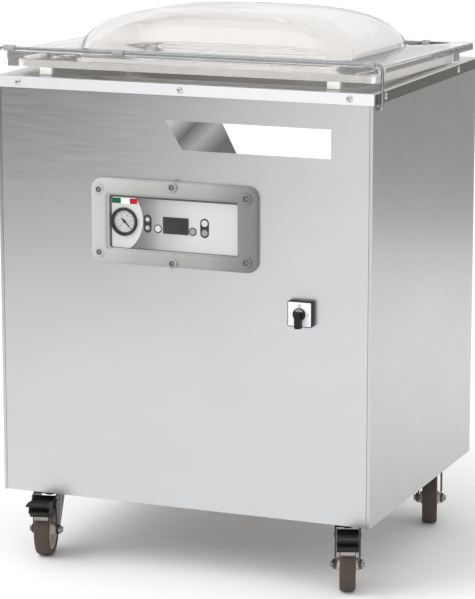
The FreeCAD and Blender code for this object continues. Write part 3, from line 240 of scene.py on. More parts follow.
FINISHES = {
    "front_steel": (brushed, (0.625, 0.63, 0.645), 0.34, "X"),
    "side_steel": (brushed, (0.59, 0.58, 0.57), 0.30, "Y"),
    "deck_steel": (brushed, (0.60, 0.59, 0.575), 0.30, "X"),
    # Painted light on the deck's lip: the front face is a lighter copy of the steel as a painted highlight,
    # the side faces a darker copy as painted shade.
    "front_lip_painted_highlight": (brushed, (0.80, 0.80, 0.82), 0.38, "X", 0.35),
    "side_lip_painted_shade": (brushed, (0.24, 0.225, 0.205), 0.3, "Y"),
    "tub_steel": (brushed, (0.83, 0.825, 0.81), 0.36, "Z"),
    "bar_aluminium": (brushed, (0.66, 0.66, 0.66), 0.34, "X"),
    "rod_steel": (plated, (0.34, 0.35, 0.365), 0.2),
    "zinc_steel": (plated, (0.085, 0.078, 0.076), 0.28),
    # Painted highlight on the fork legs.
    "rib_painted_highlight": (plated, (0.42, 0.36, 0.34), 0.3),
    "screw_steel": (plated, (0.62, 0.61, 0.60), 0.25),
    "screw_dark": (plated, (0.24, 0.24, 0.24), 0.3),
    "shoe_steel": (plated, (0.42, 0.39, 0.36), 0.4),
    "clear_acrylic": (clear, (0.995, 0.98, 0.97), 0.02, 0.86, 1.4),
    "clear_sleeve": (clear, (0.64, 0.66, 0.68), 0.25, 0.55, 1.45),
    "gauge_glass": (clear, (1, 1, 1), 0.0, 1.0, 1.3),
    "gasket_rubber": (moulded, (0.86, 0.85, 0.83), 0.6),
    "silicone_strip": (moulded, (0.45, 0.42, 0.39), 0.55, 350),
    "tape_brown": (woven_tape,),
    "white_pad": (moulded, (0.86, 0.85, 0.81), 0.5, 300),
    "white_board": (moulded, (0.83, 0.83, 0.81), 0.45, 240),
    # Painted shade on the bezel: its colour darkens towards the right.
    "bezel_plastic": (bezel_plastic,),
    # Painted shade in the bezel's screw wells.
    "well_painted_shade": (moulded, (0.045, 0.045, 0.045), 0.6),
    # Painted shadow of the bezel's inner wall along the window's edge.
    "rebate_painted_shadow": (moulded, (0.10, 0.10, 0.098), 0.6),
    "overlay_print": (overlay_print,),
    "panel_white": (moulded, (0.60, 0.60, 0.595), 0.4, 600, 0.03),
    "strip_green": (moulded, (0.003, 0.12, 0.045), 0.5, 600, 0.03, 0.2),
    "strip_red": (moulded, (0.50, 0.006, 0.018), 0.5, 600, 0.03, 0.2),
    "display_dark": (moulded, (0.035, 0.035, 0.036), 0.16, 300, 0.02),
    "key_light": (moulded, (0.60, 0.60, 0.60), 0.4, 900, 0.08),
    "key_grey": (moulded, (0.30, 0.30, 0.30), 0.4, 900, 0.08),
    "gauge_black": (moulded, (0.018, 0.02, 0.022), 0.28, 800, 0.1),
    "dial_white": (moulded, (0.76, 0.775, 0.78), 0.5, 600, 0.03),
    "ink_black": (moulded, (0.02, 0.02, 0.02), 0.5, 600, 0.03),
    "black_plastic": (moulded, (0.006, 0.0065, 0.006), 0.45, 700, 0.15, 0.3),
    "switch_white": (moulded, (0.84, 0.85, 0.90), 0.3, 500, 0.04),
    "label_metal": (label_metal,),
    "label_white": (moulded, (0.90, 0.90, 0.90), 0.3, 400, 0.03),
    "board_green": (moulded, (0.02, 0.12, 0.05), 0.4),
    "pump_grey": (moulded, (0.12, 0.14, 0.15), 0.5, 200, 0.3, 0.5, 0.2),
    "hose_black": (moulded, (0.02, 0.02, 0.02), 0.6),
    "transformer_iron": (moulded, (0.08, 0.07, 0.065), 0.55, 150, 0.4),
    "tyre_rubber": (moulded, (0.066, 0.046, 0.037), 0.66, 260, 0.35),
    "hub_plastic": (moulded, (0.50, 0.45, 0.39), 0.5, 300),
}
MATERIALS = {name: finish(name, *values) for name, (finish, *values) in FINISHES.items()}


# ---------------------------------------------------------------- mesh helpers

def link(name, data):
    """An object in the scene round a mesh, curve, light or camera."""
    made = bpy.data.objects.new(name, data)
    bpy.context.scene.collection.objects.link(made)
    return made


def clean(mesh, weld=0.0):
    """Turns the faces outwards, after joining points that lie within the weld distance."""
    cleaned = bmesh.new()
    cleaned.from_mesh(mesh)
    if weld:
        bmesh.ops.remove_doubles(cleaned, verts=cleaned.verts, dist=weld)
    bmesh.ops.recalc_face_normals(cleaned, faces=cleaned.faces)
    cleaned.to_mesh(mesh)
    cleaned.free()


def mesh_object(name, vertices, faces):
    """A mesh object in the scene, smooth shaded."""
    mesh = bpy.data.meshes.new(name)
    mesh.from_pydata([tuple(vertex) for vertex in vertices], [], faces)
    mesh.update()
    clean(mesh)
    for polygon in mesh.polygons:
        polygon.use_smooth = True
    return link(name, mesh)


def loft(name, rings, looped=False):
    """Skins closed rings of equal length, and closes the ends with fans or joins the last to the first."""
    count = len(rings[0])
    vertices = [point for ring in rings for point in ring]
    faces = []
    for index in range(len(rings) if looped else len(rings) - 1):
        following = (index + 1) % len(rings)
        for step in range(count):
            ahead = (step + 1) % count
            faces.append((
                index * count + step, index * count + ahead,
                following * count + ahead, following * count + step,
            ))
    if not looped:
        for ring_index in (0, len(rings) - 1):
            middle = sum((Vector(point) for point in rings[ring_index]), Vector()) / count
            vertices.append(middle)
            hub = len(vertices) - 1
            first = ring_index * count
            faces += [(first + step, first + (step + 1) % count, hub) for step in range(count)]
    return mesh_object(name, vertices, faces)


def rounded_ring(x, y, z, radius, corner_steps=10, side_steps=8):
    """A rounded rectangle's points at one height, the same count for every size."""
    centres = [
        (x[1] - radius, y[0] + radius, -90), (x[1] - radius, y[1] - radius, 0),
        (x[0] + radius, y[1] - radius, 90), (x[0] + radius, y[0] + radius, 180),
    ]
    corners = []
    for cx, cy, start in centres:
        angles = [math.radians(start + 90 * step / corner_steps) for step in range(corner_steps + 1)]
        corners.append([Vector((cx + radius * math.cos(a), cy + radius * math.sin(a), z)) for a in angles])
    points = []
    for index, corner in enumerate(corners):
        points += corner
        start, end = corner[-1], corners[(index + 1) % 4][0]
        points += [start.lerp(end, step / side_steps) for step in range(1, side_steps)]
    return points


def rounded_outline(x, z, radius, corner_steps, side_steps):
    """A rounded rectangle's outline for a flat shape."""
    return [(point.x, point.y) for point in rounded_ring(x, z, 0, radius, corner_steps, side_steps)]


def round_outline(x, z, radius, steps=48):
    """A circle's outline for a flat shape."""
    angles = [2 * math.pi * step / steps for step in range(steps)]
    return [(x + radius * math.cos(a), z + radius * math.sin(a)) for a in angles]


def pill_outline(x, z, width, height):
    """An upright pill's outline for a flat shape."""
    radius = width / 2
    reach = height / 2 - radius
    points = []
    for middle, start in ((z + reach, 0), (z - reach, 180)):
        for step in range(17):
            angle = math.radians(start + 180 * step / 16)
            points.append((x + radius * math.cos(angle), middle + radius * math.sin(angle)))
    return points


def turned_rings(profile, place, steps):
    """A ring round the local Z axis for each (radius, height) of a profile."""
    return [
        [place @ Vector((x, y, height)) for x, y in round_outline(0, 0, radius, steps)]
        for radius, height in profile
    ]


def revolve(name, profile, place, steps=64):
    """A closed profile turned about the local Z axis."""
    return loft(name, turned_rings(profile, place, steps), looped=True)


def turned(name, profile, place, steps=48):
    """An open profile that starts and ends near the axis, turned about the local Z axis."""
    return loft(name, turned_rings(profile, place, steps))


def flat_shape(name, outlines, front, depth):
    """Upright flat pieces facing -Y: outlines in X and Z, later ones inside are holes."""
    curve = bpy.data.curves.new(name, "CURVE")
    curve.dimensions = "2D"
    curve.fill_mode = "BOTH"
    curve.extrude = depth / 2
    for points in outlines:
        spline = curve.splines.new("POLY")
        spline.points.add(len(points) - 1)
        for knot, (x, z) in zip(spline.points, points):
            knot.co = (x, z, 0, 1)
        spline.use_cyclic_u = True
    return solid_from_curve(name, curve, Matrix.Translation((0, front + depth / 2, 0)) @ UPRIGHT)


def solid_from_curve(name, curve, place):
    """A mesh object from a curve or text, moved into place and welded."""
    holder = link(f"{name}_curve", curve)
    bpy.context.view_layer.update()
    mesh = bpy.data.meshes.new_from_object(holder.evaluated_get(bpy.context.evaluated_depsgraph_get()))
    bpy.data.objects.remove(holder)
    mesh.transform(place)
    mesh.name = name
    clean(mesh, weld=1e-7)
    return link(name, mesh)


def printed(name, words, x, z, size, front, depth):
    """Small upright figures facing the front, centred on a point."""
    text = bpy.data.curves.new(name, "FONT")
    text.body = words
    text.size = size
    text.align_x = "CENTER"
    text.align_y = "CENTER"
    text.extrude = depth / 2
    return solid_from_curve(name, text, Matrix.Translation((x, front + depth / 2, z)) @ UPRIGHT)


def soften(thing, width, segments=2):
    """Rounds the sharp edges of a piece."""
    bevel = thing.modifiers.new("edge", "BEVEL")
    bevel.width = width
    bevel.segments = segments
    bevel.limit_method = "ANGLE"
    bevel.angle_limit = math.radians(30)
    bevel.harden_normals = True
    return thing


def shade_by_angle(thing, angle=32):
    """Smooth shading that stays crisp at edges sharper than the angle."""
    for polygon in thing.data.polygons:
        polygon.use_smooth = True
    split = thing.modifiers.new("crisp", "EDGE_SPLIT")
    split.split_angle = math.radians(angle)
    return thing


def add(thing, body, material, replaces=()):
    """Finishes a piece: its material, the body that carries it and the nodes it stands for."""
    thing.data.materials.clear()
    thing.data.materials.append(MATERIALS[material])
    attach(thing, body)
    if replaces:
        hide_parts(*replaces)


def span(lo, hi, grow):
    """The two ends of a range, moved outwards."""
    return (lo - grow, hi + grow)


def middle_of(node):
    """A node's middle in X and Z, and its front in Y."""
    lo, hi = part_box(node)
    return (lo.x + hi.x) / 2, (lo.z + hi.z) / 2, lo.y


# ---------------------------------------------------------------- CAD nodes

NODE_MATERIALS = {
    "front_steel": ["front_panel"],
    "side_steel": ["left_side_panel", "right_side_panel", "rear_panel", "base_tray"],
    "deck_steel": ["top_deck"],
    "tub_steel": ["chamber_tub"],
    "screw_steel": ["cabinet_screws", "lid_hinge_bolts"],
    "screw_dark": ["bezel_screws"],
    "white_board": ["filler_plates"],
    "bar_aluminium": ["lift_cylinders", "seal_bar"],
    "tape_brown": ["seal_bar_tape"],
    "bezel_plastic": ["control_bezel"],
    "overlay_print": ["control_overlay"],
    "display_dark": ["display_module"],
    "gauge_black": ["gauge_case"],
    "gauge_glass": ["gauge_lens"],
    "ink_black": ["gauge_needle"],
    "key_light": ["key_plus", "key_minus", "key_program", "key_pump"],
    "key_grey": ["key_select", "key_stop"],
    "board_green": ["control_board"],
    "black_plastic": ["switch_frame", "switch_knob", "cable_gland", "pedal_fl", "pedal_fr"],
    "label_metal": ["name_plate"],
    "clear_acrylic": ["lid_shell"],
    "gasket_rubber": ["lid_gasket"],
    "white_pad": ["lid_rest_pads"],
    "silicone_strip": ["counter_bar_rubber"],
    "zinc_steel": ["lid_hinge_leaves", "hinge_brackets", "caster_plates",
                   "fork_fl", "fork_fr", "fork_rl", "fork_rr"],
    "rod_steel": ["hinge_pins", "hold_down_bail"],
    "clear_sleeve": ["bail_sleeves"],
    "pump_grey": ["vacuum_pump", "pump_motor", "oil_mist_filter"],
    "hose_black": ["suction_hose"],
    "transformer_iron": ["seal_transformer"],
    "hub_plastic": ["hub_fl", "hub_fr", "hub_rl", "hub_rr"],
    "tyre_rubber": ["tyre_fl", "tyre_fr", "tyre_rl", "tyre_rr"],
}
# Rounding of a few nodes' edges, in mm.
SOFT_EDGES = {
    "filler_plates": 1.0, "lid_rest_pads": 1.2, "counter_bar_rubber": 1.0, "seal_bar_tape": 0.15,
}


def dress_nodes():
    """Gives every CAD node its material and clean shading."""
    for material, names in NODE_MATERIALS.items():
        for name in names:
            node = frame["nodes"][name]
            node.data.materials.clear()
            node.data.materials.append(MATERIALS[material])
            weld = node.modifiers.new("weld", "WELD")
            weld.merge_threshold = 1e-6
            if name in SOFT_EDGES:
                soften(node, SOFT_EDGES[name] * MM)
            shade_by_angle(node)


# ---------------------------------------------------------------- lid

LID_X, LID_FRONT, LID_BACK, SKIRT_BACK = 0.369, -0.277, 0.298, 0.215
LID_BOTTOM, PLATE_BOTTOM, PLATE_TOP, DOME_CROWN = 0.933, 0.947, 0.961, 1.038
DOME_X, DOME_FRONT, DOME_BACK = 0.276, -0.170, 0.184
DOME_TAPER_X, DOME_TAPER_Y, DOME_FULLNESS = 0.222, 0.085, 0.34
SKIRT_WALL, DOME_WALL = 0.014, 0.010
# Heights of the dome's rings, from 0 at its foot to 1 at its crown, closer where it turns over.
DOME_LEVELS = [
    0, 0.06, 0.14, 0.25, 0.37, 0.49, 0.6, 0.7, 0.785, 0.85, 0.9, 0.94, 0.968, 0.985, 0.995, 1.0,
]


def lid_ring(half_x, front, back, z, radius):
    """A plan ring of the lid."""
    return rounded_ring((-half_x, half_x), (front, back), z, radius)


def dome_ring(level, shrink, drop):
    """A plan ring of the pillow-shaped dome, drawn in and lowered for the inside of its wall."""
    inset = 1 - (1 - level ** 2) ** DOME_FULLNESS
    pull_x, pull_y = shrink + DOME_TAPER_X * inset, shrink + DOME_TAPER_Y * inset
    half_x, half_y = DOME_X - pull_x, (DOME_BACK - DOME_FRONT) / 2 - pull_y
    radius = min(0.031 + 0.039 * level - shrink / 2, 0.9 * min(half_x, half_y))
    height = PLATE_TOP + (DOME_CROWN - PLATE_TOP) * level - drop
    return lid_ring(half_x, DOME_FRONT + pull_y, DOME_BACK - pull_y, height, radius)


def lid_shell():
    """Plate, skirt and dome in one clear blown sheet: down the outside, then up the inside."""
    rings = [dome_ring(level, 0, 0) for level in reversed(DOME_LEVELS)]
    for spread, rise, radius in ((0.004, 0.0012, 0.034), (0.009, 0, 0.038)):
        rings.append(lid_ring(DOME_X + spread, DOME_FRONT - spread, DOME_BACK + spread,
                              PLATE_TOP + rise, radius))
    edge, step, corner, inner_corner = 0.002, 0.0006, 0.006, 0.029
    inner_x = LID_X - SKIRT_WALL
    inner_front, inner_back = LID_FRONT + SKIRT_WALL, SKIRT_BACK - SKIRT_WALL
    rings += [
        lid_ring(LID_X - edge, LID_FRONT + edge, LID_BACK - edge, PLATE_TOP, corner - 0.001),
        lid_ring(LID_X, LID_FRONT, LID_BACK, PLATE_TOP - edge, corner),
        lid_ring(LID_X, LID_FRONT, LID_BACK, PLATE_BOTTOM + step, corner),
        lid_ring(LID_X - step, LID_FRONT + step, LID_BACK - step, PLATE_BOTTOM, corner),
        lid_ring(LID_X - 2 * step, LID_FRONT + 2 * step, SKIRT_BACK, PLATE_BOTTOM - step, corner),
        lid_ring(LID_X - 2 * step, LID_FRONT + 2 * step, SKIRT_BACK, LID_BOTTOM, corner),
        lid_ring(inner_x, inner_front, inner_back, LID_BOTTOM, inner_corner),
        lid_ring(inner_x, inner_front, inner_back, PLATE_BOTTOM, inner_corner),
        dome_ring(0, DOME_WALL - 0.004, PLATE_TOP - PLATE_BOTTOM),
    ]
    rings += [dome_ring(level, DOME_WALL, DOME_WALL) for level in DOME_LEVELS[2:]]
    made = loft("lid_shell_clear", rings)
    made.data.transform(LID_TILT)
    add(shade_by_angle(made, 40), "lid", "clear_acrylic", ["lid_shell"])


# ---------------------------------------------------------------- deck edge

def deck_lip_faces():
    """Thin faces on the deck's lip in two colours: brighter in front as a painted highlight, darker at the
    sides as painted shade.
    """
    lo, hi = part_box("top_deck")
    lip_low, proud, corner = 0.9096, 0.0002, 0.0008
    ring = rounded_outline(span(lo.x, hi.x, -0.0006), (lip_low, hi.z - 0.0012), corner, 4, 24)
    # The front face carries a painted highlight.
    add(flat_shape("deck_lip_face", [ring], lo.y - proud, proud), "cabinet", "front_lip_painted_highlight")
    quarter_turn = Matrix.Rotation(math.radians(90), 4, "Z")
    for name, side in SIDES:
        ring = rounded_outline(span(lo.y, hi.y, -0.004), (lip_low, hi.z - 0.0022), corner, 4, 24)
        face = flat_shape(f"deck_lip_{name}", [ring], 0, proud)
        edge = hi.x + proud if side > 0 else lo.x
        face.data.transform(Matrix.Translation((edge, 0, 0)) @ quarter_turn)
        # The side faces carry painted shade.
        add(face, "cabinet", "side_lip_painted_shade")


# ---------------------------------------------------------------- hold-down bail

def bail_sleeves():
    """Ribbed clear sleeves threaded on the crossbar."""
    lo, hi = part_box("bail_sleeves")
    outer = (hi.z - lo.z) / 2
    length, ribs, bore, rib_edge = 0.023, 5, 0.0031, 0.0008
    profile = [(bore, 0), (outer * 0.8, 0)]
    for rib in range(ribs):
        start = length * (rib + 0.12) / ribs
        end = length * (rib + 0.78) / ribs
        profile += [
            (outer * 0.86, start), (outer, start + rib_edge), (outer, end - rib_edge), (outer * 0.86, end),
        ]
    profile += [(outer * 0.8, length), (bore, length)]
    for index, x in enumerate((-0.357, -0.134, 0.356)):
        start_at = (x - length / 2, (lo.y + hi.y) / 2, (lo.z + hi.z) / 2)
        place = Matrix.Translation(start_at) @ Matrix.Rotation(math.radians(90), 4, "Y")
        sleeve = revolve(f"bail_sleeve_{index + 1}", profile, place, 40)
        add(sleeve, "bail", "clear_sleeve", ["bail_sleeves"] if index == 0 else [])


# ---------------------------------------------------------------- control panel

def control_bezel():
    """The crowned frame with its rolled inner edge."""
    lo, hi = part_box("control_bezel")
    reach_x, reach_z = 0.0385, 0.030
    outer_corner, corner_change = 0.022, 0.017
    depth = hi.y - lo.y
    # Across the frame from its outer to its inner edge, and out from the panel, as parts of 1.
    profile = [
        (0, 0), (0, 0.22), (0.01, 0.36), (0.04, 0.50), (0.09, 0.60), (0.18, 0.69), (0.32, 0.79),
        (0.48, 0.88), (0.64, 0.96), (0.74, 0.995), (0.81, 1.0), (0.86, 0.97), (0.89, 0.90), (0.905, 0.76),
        (0.94, 0.73), (0.975, 0.73), (0.995, 0.69), (1.0, 0.6), (1.0, 0.385), (0.9, 0.385), (0.9, 0.02),
    ]
    rings = []
    for across, out in profile:
        x, z = span(lo.x, hi.x, -reach_x * across), span(lo.z, hi.z, -reach_z * across)
        outline = rounded_outline(x, z, outer_corner - corner_change * across, 8, 10)
        rings.append([Vector((at_x, hi.y - depth * out, at_z)) for at_x, at_z in outline])
    made = shade_by_angle(loft("control_bezel_frame", rings, looped=True), 50)
    add(made, "cabinet", "bezel_plastic", ["control_bezel"])


def bezel_screw_wells():
    """A raised collar and a dished floor round each bezel screw, the floor's dark colour a painted shade."""
    middle_x, middle_z, front = middle_of("control_bezel")
    spots = [(side_x * 0.147, side_z * 0.059) for side_x in (-1, 1) for side_z in (-1, 1)]
    spots += [(0, -0.071), (0, 0.071)]
    collar = [
        (0.0054, -0.002), (0.0054, 0.0004), (0.0060, 0.0010), (0.0070, 0.0013), (0.0082, 0.0008),
        (0.0092, -0.0004), (0.0098, -0.002),
    ]
    well = [(0.0042, -0.001), (0.0042, 0.0001), (0.0053, 0.0002), (0.0053, -0.001)]
    for index, (x, z) in enumerate(spots):
        place = Matrix.Translation((middle_x + x, front, middle_z + z)) @ UPRIGHT
        # The well's dark finish is painted shade in the recess round the screw.
        for name, profile, material in (("collar", collar, "bezel_plastic"), ("well", well, "well_painted_shade")):
            piece = revolve(f"bezel_{name}_{index + 1}", profile, place, 40)
            add(piece, "cabinet", material)


def window_seam():
    """A dark flat ring of painted shadow just inside the bezel's inner edge, wider at the left and the top,
    where the bezel casts its shadow on the window.
    """
    lo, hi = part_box("control_overlay")
    hidden, thick, narrow, left_band, top_band = 0.0025, 0.2 * MM, 0.0009, 0.0036, 0.0044
    outer_x, outer_z = span(lo.x, hi.x, -hidden), span(lo.z, hi.z, -hidden)
    inner_x = (outer_x[0] + left_band, outer_x[1] - narrow)
    inner_z = (outer_z[0] + narrow, outer_z[1] - top_band)
    outlines = [
        rounded_outline(outer_x, outer_z, 0.005, 6, 4),
        rounded_outline(inner_x, inner_z, 0.004, 6, 4),
    ]
    # The ring is painted shadow of the bezel's inner wall.
    seam = flat_shape("window_seam", outlines, lo.y - thick, thick)
    add(seam, "cabinet", "rebate_painted_shadow")


def overlay_zone():
    """The white field behind the gauge and the strip of three colours over it."""
    lo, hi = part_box("control_overlay")
    gauge_x, gauge_z, _ = middle_of("gauge_case")
    left, low, high = lo.x + 0.0051, lo.z + 0.0034, hi.z - 0.0055
    # The field's right edge is an arc, from the bottom of the panel's window to its top.
    arc_x, arc_z, arc_radius, arc_steps = gauge_x - 0.0286, gauge_z + 0.0035, 0.066, 24
    start, end = math.asin((low - arc_z) / arc_radius), math.asin((high - arc_z) / arc_radius)
    angles = [start + (end - start) * step / arc_steps for step in range(arc_steps + 1)]
    arc = [(arc_x + arc_radius * math.cos(a), arc_z + arc_radius * math.sin(a)) for a in angles]
    field = [[(left, low)] + arc + [(left, high)], round_outline(gauge_x, gauge_z, 0.0252)]
    thick, strip_thick = 0.15 * MM, 0.08 * MM
    front = lo.y - thick
    add(flat_shape("gauge_field", field, front, thick), "cabinet", "panel_white")
    strip_low, strip_high = high - 0.013, high - 0.003
    edges = [left + 0.0015, left + 0.0195, left + 0.0375, left + 0.0525]
    for index, material in enumerate(("strip_green", "label_white", "strip_red")):
        x0, x1 = edges[index], edges[index + 1]
        block = [(x0, strip_low), (x1, strip_low), (x1, strip_high), (x0, strip_high)]
        piece = flat_shape(f"colour_strip_{index + 1}", [block], front - strip_thick, strip_thick)
        add(piece, "cabinet", material)


# Each key's cap: its radius and its finish.
KEY_CAPS = {
    "key_plus": (0.0048, "key_grey"), "key_minus": (0.0048, "key_grey"),
    "key_program": (0.0062, "key_light"), "key_select": (0.0061, "key_grey"),
    "key_pump": (0.0062, "key_light"), "key_stop": (0.0062, "key_grey"),
}
KEY_GAP = 0.0003


def key_surrounds():
    """Black pills round the paired keys and thin rings round the single ones."""
    thick, pill_ends, ring_width = 0.12 * MM, 0.0183, 0.0015
    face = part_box("control_overlay")[0].y - thick
    pairs = (
        ("step_keys_pill", "key_plus", "key_minus", 0.0158),
        ("pump_keys_pill", "key_pump", "key_stop", 0.0174),
    )
    surrounds = []
    for name, upper, lower, width in pairs:
        x, high, _ = middle_of(upper)
        _, low, _ = middle_of(lower)
        radius = KEY_CAPS[upper][0] + KEY_GAP
        outline = pill_outline(x, (high + low) / 2, width, abs(high - low) + pill_ends)
        surrounds.append((name, [outline, round_outline(x, high, radius), round_outline(x, low, radius)]))
    for key in ("key_program", "key_select"):
        x, z, _ = middle_of(key)
        radius = KEY_CAPS[key][0] + KEY_GAP
        surrounds.append((f"{key}_ring", [round_outline(x, z, radius + ring_width),
                                          round_outline(x, z, radius)]))
    for name, outlines in surrounds:
        add(flat_shape(name, outlines, face, thick), "cabinet", "ink_black")


def sign_outline(x, z, arm, half, plus):
    """A plus or minus sign's outline."""
    if plus:
        steps = [
            (-arm, -half), (-half, -half), (-half, -arm), (half, -arm), (half, -half), (arm, -half),
            (arm, half), (half, half), (half, arm), (-half, arm), (-half, half), (-arm, half),
        ]
    else:
        steps = [(-arm, -half), (arm, -half), (arm, half), (-arm, half)]
    return [(x + right, z + up) for right, up in steps]


def key_caps():
    """Slightly domed caps in place of the plain keys, with signs on two of them."""
    for key, (radius, finish) in KEY_CAPS.items():
        lo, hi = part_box(key)
        x, z, front = middle_of(key)
        depth = hi.y - lo.y
        profile = [
            (0.0002, 0), (radius, 0), (radius, depth * 0.84), (radius * 0.97, depth * 0.91),
            (radius * 0.88, depth * 0.96), (radius * 0.5, depth * 0.99), (0.0002, depth),
        ]
        place = Matrix.Translation((x, hi.y, z)) @ UPRIGHT
        add(turned(f"{key}_cap", profile, place), key, finish, [key])
        if key in ("key_plus", "key_minus"):
            outline = sign_outline(x, z, radius * 0.5, radius * 0.12, key == "key_plus")
            add(flat_shape(f"{key}_sign", [outline], front - 0.06 * MM, 0.12 * MM), key, "label_white")


def display_window():
    """The dark window over the display, with its rounded corners."""
    lo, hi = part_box("display_module")
    margin = 0.0012
    outline = rounded_outline(span(lo.x, hi.x, -margin), span(lo.z, hi.z, -margin), 0.0015, 4, 2)
    window = flat_shape("display_window", [outline], lo.y - 0.25 * MM, 0.3 * MM)
    add(soften(window, 0.00012), "cabinet", "display_dark")


def gauge_parts():
    """The gauge's domed ring, its dial with ticks and figures, and the shoulder between them."""
    lo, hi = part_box("gauge_case")
    x, z, front = middle_of("gauge_case")
    radius = (hi.x - lo.x) / 2
    ring_back = front + 0.0034
    place = Matrix.Translation((x, ring_back, z)) @ UPRIGHT
    inside = radius - 0.0032
    ring = [
        (inside - 0.0001, -0.001), (inside - 0.0001, 0.0012), (inside + 0.0002, 0.0028),
        (inside + 0.0008, 0.0034), (radius - 0.0014, 0.0036), (radius - 0.0003, 0.0028),
        (radius, 0.0015), (radius, 0.0), (radius - 0.002, -0.001),
    ]
    dial_edge = inside - 0.0030
    shoulder = [
        (dial_edge, 0.0), (inside - 0.0002, 0.0), (inside - 0.0002, 0.0020),
        (dial_edge + 0.0006, 0.0014), (dial_edge, 0.0009),
    ]
    for name, profile in (("gauge_ring", ring), ("gauge_shoulder", shoulder)):
        add(revolve(name, profile, place, 72), "cabinet", "gauge_black")
    dial_face = ring_back + 0.0008
    dial = flat_shape("gauge_dial", [round_outline(x, z, inside - 0.0002, 72)], dial_face, 0.15 * MM)
    add(dial, "cabinet", "dial_white")
    dial_print(x, z, dial_face)


def dial_print(x, z, dial_face):
    """The dial's ticks, long and short in turn, and a figure at every other long one."""
    ink = 0.08 * MM
    start, sweep, major = math.radians(-45), math.radians(270), 10
    tick_end, figure_at, figure_size = 0.0190, 0.0118, 0.0042
    for index in range(major * 2 + 1):
        angle = start + sweep * index / (major * 2)
        tick_start, half = (0.0150, 0.00035) if index % 2 == 0 else (0.0166, 0.0002)
        middle = Vector((x, z))
        along = Vector((math.cos(angle), math.sin(angle)))
        across = Vector((-math.sin(angle), math.cos(angle))) * half
        corners = [
            middle + along * tick_start - across, middle + along * tick_end - across,
            middle + along * tick_end + across, middle + along * tick_start + across,
        ]
        tick = flat_shape(f"dial_tick_{index + 1}", [corners], dial_face - ink, ink)
        add(tick, "cabinet", "ink_black")
    for index in range(0, major + 1, 2):
        angle = start + sweep * index / major
        spot = (x + figure_at * math.cos(angle), z + figure_at * math.sin(angle))
        figure = printed(f"dial_figure_{index}", str(index), *spot, figure_size, dial_face - ink, ink)
        add(figure, "cabinet", "ink_black")


# ---------------------------------------------------------------- main switch and label

def switch_face():
    """The switch's white face with its two figures."""
    lo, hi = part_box("switch_frame")
    x, z, front = middle_of("switch_frame")
    inset, sunk, ink = 0.0019, 0.2 * MM, 0.1 * MM
    outline = rounded_outline(span(lo.x, hi.x, -inset), span(lo.z, hi.z, -inset), 0.0012, 6, 4)
    face = flat_shape("switch_face", [outline, round_outline(x, z, 0.0045)], front - sunk, 2 * sunk)
    add(soften(face, 0.00012), "cabinet", "switch_white")
    for words, right, up in (("0", 0, 0.0160), ("1", 0.0160, 0)):
        figure = printed(f"switch_figure_{words}", words, x + right, z + up, 0.0085, front - sunk - ink, ink)
        add(figure, "cabinet", "ink_black")


def switch_knob():
    """The shaped knob: a disc, a grip and a grey piece at the top of the disc that is a painted highlight."""
    x, z, front = middle_of("switch_frame")
    lo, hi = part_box("switch_knob")
    seat = front - 0.0004
    depth = seat - lo.y
    place = Matrix.Translation((x, seat, z)) @ UPRIGHT
    radius = (hi.x - lo.x) / 2
    disc = [
        (0.0002, 0), (radius * 0.98, 0), (radius, 0.0006), (radius, 0.0038), (radius * 0.96, 0.0047),
        (radius * 0.85, 0.0052), (0.0002, 0.0054),
    ]
    add(turned("switch_disc", disc, place), "knob", "black_plastic", ["switch_knob"])
    grip_half, low, high = 0.006, lo.z - z + 0.0015, hi.z - z - 0.0065
    rings = []
    for out, shrink in (
        (0.004, -0.0006), (0.006, 0.0), (depth * 0.6, 0.0002), (depth * 0.85, 0.0006),
        (depth * 0.96, 0.0014), (depth, 0.003),
    ):
        ring = rounded_ring(span(-grip_half, grip_half, -shrink), span(low, high, -shrink), out, 0.0029, 6, 6)
        rings.append([place @ point for point in ring])
    add(loft("switch_grip", rings), "knob", "black_plastic")
    # A light grey piece on the disc's upper edge stands in for the glint there: a painted highlight.
    highlight_radius, highlight_steps = radius * 0.9, 12
    angles = [math.radians(35 + 95 * step / highlight_steps) for step in range(highlight_steps + 1)]
    outline = [(x + highlight_radius * math.cos(a), z + highlight_radius * math.sin(a)) for a in angles]
    outline += [(x - 0.0035, z + 0.0045), (x + 0.0005, z + 0.0055)]
    highlight_piece = flat_shape("switch_painted_highlight", [outline], seat - 0.0058, 0.0006)
    add(soften(highlight_piece, 0.00015), "knob", "key_grey")


def name_plate():
    """The blank label in its two halves: banded metal and plain white."""
    lo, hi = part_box("name_plate")
    slant, gap, thick = 0.0331, 0.0002, 1.0 * MM
    split_top, split_low = lo.x + 0.1125, lo.x + 0.1399
    metal = [(lo.x + slant, lo.z), (split_low - gap, lo.z), (split_top - gap, hi.z), (lo.x, hi.z)]
    white = [(split_low + gap, lo.z), (hi.x, lo.z), (hi.x, hi.z), (split_top + gap, hi.z)]
    piece = flat_shape("label_metal_part", [metal], lo.y, thick)
    add(soften(piece, 0.0002), "cabinet", "label_metal", ["name_plate"])
    piece = flat_shape("label_white_part", [white], lo.y, thick)
    add(soften(piece, 0.0002), "cabinet", "label_white")


# ---------------------------------------------------------------- castors

def caster_turn(corner):
    """How far a castor is turned at rest."""
    axle = JOINTS[f"wheel_{corner}_roll"]["axis"]
    return Matrix.Rotation(math.atan2(axle[1], axle[0]), 4, "Z")


def caster_frame(corner):
    """Where a castor stands: its swivel point on the floor, turned to its resting direction."""
    swivel = JOINTS[f"swivel_{corner}"]["pos_m"]
    return Matrix.Translation((swivel[0], swivel[1], 0)) @ caster_turn(corner)


def outward(side):
    """Turns a profile's local Z axis to point left or right."""
    return Matrix.Rotation(side * math.radians(90), 4, "Y")


def both_ways(half):
    """A wheel's whole profile from the half below its middle."""
    return half + [(radius, -height) for radius, height in reversed(half)]


